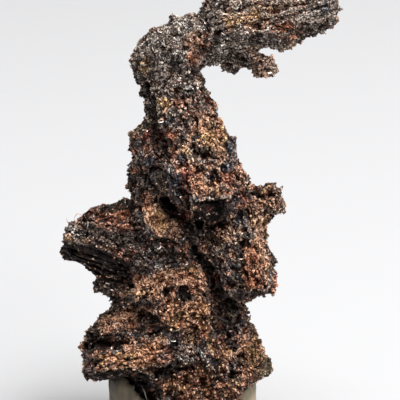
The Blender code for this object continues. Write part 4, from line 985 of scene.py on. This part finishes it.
def along_line(line, step):
    """Places along a line, evenly spaced."""
    found = []
    for (u0, v0), (u1, v1) in zip(line, line[1:]):
        count = max(1, round(math.hypot(u1 - u0, v1 - v0) / step))
        found += [(u0 + (u1 - u0) * n / count, v0 + (v1 - v0) * n / count) for n in range(count)]
    return found + [line[-1]]


def add_rod(bm, points, thickness, towards):
    """A closed four-sided rod through the points, pinched at both ends and a little uneven between."""
    rings = []
    for n, point in enumerate(points):
        ahead = (points[min(n + 1, len(points) - 1)] - points[max(n - 1, 0)]).normalized()
        side = ahead.cross(towards).normalized()
        pinch = ROD_MIDDLE + ROD_UNEVENNESS * (noise.cell(point / MM * 3.0) - 0.2)
        if n in (0, len(points) - 1):
            pinch = ROD_END
        radius = thickness / 2 * MM * pinch
        rings.append([bm.verts.new(point + way * radius) for way in (side, towards, -side, -towards)])
    for first, second in zip(rings, rings[1:]):
        for n in range(4):
            bm.faces.new((first[n], first[(n + 1) % 4], second[(n + 1) % 4], second[n]))
    bm.faces.new(rings[0][::-1])
    bm.faces.new(rings[-1])


def add_seam(bm, line, thickness, surface, offset):
    """A ridge along a line, lying on the surface and broken off in places."""
    run = []
    for u, v in along_line(line, SEAM_STEP):
        jitter = noise.noise_vector(Vector((u, v, offset)) / SEAM_JITTER[0]) * SEAM_JITTER[1]
        point, towards = on_face(u + jitter.x, v + jitter.y, surface)
        broken = noise.noise(Vector((u, v, offset + 9.0)) / SEAM_GAPS[0]) < SEAM_GAPS[1]
        if point is None or broken or (run and (point - run[-1]).length > 4 * SEAM_STEP * MM):
            if len(run) > 2:
                add_rod(bm, run, thickness, towards)
            run = []
        if point is not None and not broken:
            run.append(point + towards * thickness * SEAM_LIFT * MM)
    if len(run) > 2:
        add_rod(bm, run, thickness, towards)


def add_wire(bm, line, thickness, stand_off, surface):
    """A wire rooted on the surface at its first place and running on in front of it."""
    root, towards = on_face(*line[0], surface)
    if root is None:
        return
    points = []
    for n, (u, v) in enumerate(line):
        way = face_vector(u - line[0][0], v - line[0][1]) + towards * stand_off * min(n, 1)
        points.append(root + way * MM)
    add_rod(bm, points, thickness, towards)


def seams_and_wires(surface):
    """One piece to each finish: the ridges along the layers, and the wires that stand free."""
    made = []
    for finish, (bright, seams) in SEAMS.items():
        name = finish + "_seams"
        bm = bmesh.new()
        for line, step, count, thickness in seams:
            for n, shifted in enumerate(side_by_side(line, step, count)):
                add_seam(bm, shifted, thickness, surface, n * 3.7)
        for line, thickness, stand_off, wire_finish in WIRES:
            if wire_finish == finish:
                add_wire(bm, line, thickness, stand_off, surface)
        bmesh.ops.recalc_face_normals(bm, faces=bm.faces)
        mesh = mesh_from(bm, name)
        points = vectors_of(mesh.vertices, "co")
        size, contrast, shift = SEAM_SHADES
        store(mesh, "shade", np.clip(bright + shift + contrast * noise_at(points, size), 0.0, 1.0))
        store(mesh, "recess", np.zeros(len(points)))
        store(mesh, "tint", np.tile((*finish_hue(finish)[0], 1.0), (len(points), 1)), "FLOAT_COLOR")
        mesh.materials.append(grain_material(name, finish, SEAM_METALLIC, SEAM_ROUGHNESS))
        made.append(new_object(name, mesh))
    return made


def putty_swell(place):
    """How far the putty stands out at a place in millimetres, with its marks, folds and dents."""
    out = PUTTY_SWELL
    for width, height, shift, depth in PUTTY_MARKS:
        out += depth * noise.noise(Vector((place.x / width, place.y / width, place.z / height + shift)))
    out += DENT_DEPTH * noise.noise(place / DENT_SIZE + Vector((0.0, 5.0, 2.0)))
    return float(smooth_step(*PUTTY_FREE, place.z) * out)


def putty_lump(surface):
    """The putty, kneaded and pulled upwards, and pressed up against the silver all round its foot."""
    mesh = fine_mesh("putty_lump", "putty_base", PUTTY_VOXEL, PUTTY_SMOOTHING)
    moved, grime = [], []
    for point, normal in zip(vectors_of(mesh.vertices, "co"), vectors_of(mesh.vertex_normals, "vector")):
        place = Vector(point / MM)
        shifted = Vector(point) + Vector(normal) * putty_swell(place) * MM
        nearest, _, _, distance = surface.find_nearest(shifted)
        if distance < LIP_REACH:
            press = float(smooth_step(LIP_REACH, LIP_CLOSE, distance) * smooth_step(*LIP_HEIGHTS, place.z))
            lift = Vector((0.0, 0.0, LIP_RISE)) * press * max(0.0, normal[2])
            shifted += (nearest - shifted) * press * LIP_PRESS + lift
        moved.append(shifted)
        # painted shade: how close the putty lies to the silver
        grime.append(float(smooth_step(CONTACT_SHADE_REACH, CONTACT_SHADE_CLOSE, distance)))
    move_to(mesh, moved)
    store(mesh, "grime", grime)
    mesh.shade_smooth()
    mesh.materials.append(putty_material())
    return new_object("putty_lump", mesh)


def bare_material(name, roughness, metallic):
    """A new material, its shader and its node tree."""
    made = bpy.data.materials.new(name)
    made.use_nodes = True
    shader = made.node_tree.nodes["Principled BSDF"]
    shader.inputs["Roughness"].default_value = roughness
    shader.inputs["Metallic"].default_value = metallic
    shader.inputs["Specular IOR Level"].default_value = SHINE
    return made, shader, made.node_tree


def object_places(tree):
    return add_node(tree, "ShaderNodeTexCoord").outputs["Object"]


def stored(tree, name, output="Fac"):
    """A value or colour stored on the surface, in a material."""
    return add_node(tree, "ShaderNodeAttribute", attribute_name=name).outputs[output]


def ranged(tree, value, start, end, new_start=0.0, new_end=1.0):
    """A value's run from start to end, brought to a new run and held at its ends."""
    inputs = {"Value": value, "From Min": start, "From Max": end, "To Min": new_start, "To Max": new_end}
    return result_of(tree, "ShaderNodeMapRange", inputs)


def noise_texture(tree, places, per_mm, detail, **more):
    inputs = {"Vector": places, "Scale": per_mm / MM, "Detail": detail, **more}
    return result_of(tree, "ShaderNodeTexNoise", inputs)


def bump(tree, height, strength, depth, **under):
    inputs = {"Strength": strength, "Distance": depth * MM, "Height": height, **under}
    return result_of(tree, "ShaderNodeBump", inputs)


def mixed_colour(tree, factor, first, second, **settings):
    inputs = {0: factor, 6: first, 7: second}
    return add_node(tree, "ShaderNodeMix", inputs, data_type="RGBA", **settings).outputs[2]


def colour_ramp(tree, factor, stops):
    ramp = add_node(tree, "ShaderNodeValToRGB", {"Fac": factor})
    elements = ramp.color_ramp.elements
    while len(elements) < len(stops):
        elements.new(0.5)
    for element, (place, colour) in zip(elements, stops):
        element.position = place
        element.color = (*sheen(*colour), 1.0)
    return ramp.outputs["Color"]


def darkened(tree, colour, factor, least, warmth=0.0):
    """A colour taken down to its least share where the factor is 1, and towards red by the warmth."""
    lowest = (least * (1.0 + warmth), least * (1.0 - 0.3 * warmth), least * (1.0 - 0.6 * warmth), 1.0)
    share = mixed_colour(tree, factor, (1.0, 1.0, 1.0, 1.0), lowest)
    return mixed_colour(tree, 1.0, colour, share, blend_type="MULTIPLY")


def connect(tree, shader, colour, roughness, normal):
    tree.links.new(colour, shader.inputs["Base Color"])
    tree.links.new(roughness, shader.inputs["Roughness"])
    tree.links.new(normal, shader.inputs["Normal"])


def connect_crust(tree, shader, colour, grit, rough_range, strength, depth):
    """A colour, roughness and bumps from the same grit, and the shine taken away deep in the recesses as
    painted shade.
    """
    shine = ranged(tree, stored(tree, "recess"), 0.0, 1.0, SHINE, SHINE * RECESS_SHINE)
    tree.links.new(shine, shader.inputs["Specular IOR Level"])
    rough = ranged(tree, grit, 0.3, 0.7, *rough_range)
    connect(tree, shader, colour, rough, bump(tree, grit, strength, depth))


def putty_material():
    """Olive-beige putty, painted lighter and yellower on its right where the light falls, with upright pull
    marks, grey smears, painted shade close to the silver and a waxy skin.
    """
    made, shader, tree = bare_material("olive_putty", 0.6, 0.0)
    places = object_places(tree)
    tall = result_of(tree, "ShaderNodeMapping", {"Vector": places, "Scale": (1.0, 1.0, 0.4)})
    streaks = noise_texture(tree, tall, 0.5, 3.0, Distortion=0.8)
    patches = noise_texture(tree, places, 0.22, 3.0)
    across = result_of(tree, "ShaderNodeSeparateXYZ", {0: places})
    # painted light: lighter towards the right side, where the light falls
    side = ranged(tree, across, -8.0 * MM, 10.0 * MM, 0.0, 0.6)
    lively = result_of(tree, "ShaderNodeMath", {0: patches, 1: 0.6, 2: side}, operation="MULTIPLY_ADD")
    tone = colour_ramp(tree, lively, [(0.1, (92, 84, 71)), (0.4, (124, 113, 95)), (0.75, (172, 157, 131))])
    smeared = darkened(tree, tone, ranged(tree, streaks, 0.62, 0.36), 0.8)
    # painted shade: darker close to the silver
    colour = darkened(tree, smeared, stored(tree, "grime"), 0.35)
    pulled = bump(tree, streaks, 0.5, 0.18)
    kneaded = bump(tree, noise_texture(tree, places, 3.0, 4.0), 0.35, 0.04, Normal=pulled)
    connect(tree, shader, colour, ranged(tree, streaks, 0.3, 0.7, 0.5, 0.78), kneaded)
    return made


def grain_material(name, finish, metallic, roughness):
    """Small crystals, each with its own shade, with painted shade in the recesses, and worn rough at random.
    """
    made, shader, tree = bare_material(name, roughness, metallic)
    shade = stored(tree, "shade")
    own = colour_ramp(tree, shade, list(zip((0.0, 0.55, 1.0), FINISHES[finish]["colours"])))
    brightness = result_of(tree, "ShaderNodeRGBToBW", {0: own})
    inputs = {0: stored(tree, "tint", "Color"), "Scale": brightness}
    tinted = result_of(tree, "ShaderNodeVectorMath", inputs, operation="SCALE")
    mixed = mixed_colour(tree, ranged(tree, shade, 0.0, 1.0, *TINT_SHARES), own, tinted)
    # painted shade: darker and redder in the recesses
    colour = darkened(tree, mixed, stored(tree, "recess"), 0.14, RECESS_WARMTH)
    worn = noise_texture(tree, object_places(tree), 2.2, 3.0)
    connect_crust(tree, shader, colour, worn, (roughness * 0.6, min(1.0, roughness * 1.5)), 0.5, 0.05)
    return made


def skin_material():
    """The crust between the grains: its own finishes in fine specks, with painted shade in the recesses."""
    made, shader, tree = bare_material("tarnished_crust", 0.55, 0.4)
    places = object_places(tree)
    specks = result_of(tree, "ShaderNodeTexVoronoi", {"Vector": places, "Scale": 3.6 / MM})
    # painted shade: darker and redder in the recesses
    colour = darkened(tree, stored(tree, "crust", "Color"), stored(tree, "recess"), 0.12, RECESS_WARMTH)
    colour = darkened(tree, colour, specks, 0.35)
    grit = noise_texture(tree, places, 2.6, 4.0, Roughness=0.7)
    connect_crust(tree, shader, colour, grit, (0.35, 0.85), 0.7, 0.12)
    return made


def set_camera():
    data = bpy.data.cameras.new("camera")
    data.sensor_width = 36.0
    data.lens = data.sensor_width * VIEW_DISTANCE / VIEW_WIDTH
    data.clip_start = 0.01
    camera = new_object("camera", data)
    camera.location = VIEWER
    camera.rotation_euler = (math.pi / 2 - FACE_TILT, 0.0, 0.0)
    bpy.context.scene.camera = camera


def add_softbox(name, place, side, power):
    """A square area light that looks at the middle of the specimen."""
    data = bpy.data.lights.new(name, "AREA")
    data.shape = "RECTANGLE"
    data.size = data.size_y = side
    data.energy = power
    light = new_object(name, data)
    light.location = place
    light.rotation_euler = (LIGHT_TARGET - Vector(place)).to_track_quat("-Z", "Y").to_euler()


def set_lights():
    """Three soft lights in a studio that is brighter above than below."""
    add_softbox("overhead_softbox", (0.30, -0.30, 1.25), 0.75, 26.0)
    add_softbox("right_softbox", (1.10, -0.60, 0.62), 0.75, 10.5)
    add_softbox("front_softbox", (0.50, -0.95, 0.62), 0.50, 7.0)
    world = bpy.data.worlds.new("studio")
    world.use_nodes = True
    tree = world.node_tree
    way = add_node(tree, "ShaderNodeTexCoord").outputs["Generated"]
    upward = add_node(tree, "ShaderNodeSeparateXYZ", {0: way}).outputs["Z"]
    background = tree.nodes["Background"]
    tree.links.new(ranged(tree, upward, 0.0, 1.0, 0.18, 0.98), background.inputs["Strength"])
    background.inputs["Color"].default_value = (1.0, 1.0, 1.0, 1.0)
    bpy.context.scene.world = world
    bpy.context.scene.view_settings.view_transform = "Standard"


def add_floor():
    bm = bmesh.new()
    bmesh.ops.create_grid(bm, x_segments=1, y_segments=1, size=1.5)
    floor = new_object("table_top", mesh_from(bm, "table_top"))
    made, shader, _ = bare_material("white_card", 0.85, 0.0)
    shader.inputs["Base Color"].default_value = (*sheen(170, 170, 171), 1.0)
    floor.data.materials.append(made)


set_camera()
set_lights()
add_floor()
skin = silver_skin()
skin.data.materials.append(skin_material())
surface = BVHTree.FromPolygons(
    vectors_of(skin.data.vertices, "co").tolist(), [face.vertices[:] for face in skin.data.polygons]
)
grains = scatter_tree("grain_crust", GRAIN_SIZES, standing_grain)
blades = scatter_tree("layer_blades", BLADE_SIZES, lying_blade)
wires = scatter_tree("curled_wires", GRAIN_SIZES, standing_curl)
crusts = scattered(skin, CRUSTS, GRAIN_SIZES, grains, GRAIN_SEED)
crusts += scattered(skin, BLADES, BLADE_SIZES, blades, BLADE_SEED, "_layers")
crusts += scattered(skin, CURLS, GRAIN_SIZES, wires, CURL_SEED)
crusts += seams_and_wires(surface)
keep_attributes(skin.data, ("recess", "crust"))
for piece in (skin, *crusts):
    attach(piece, "root")
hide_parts("silver_mass")
putty = putty_lump(surface)
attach(putty, "root")
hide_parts("putty_base")
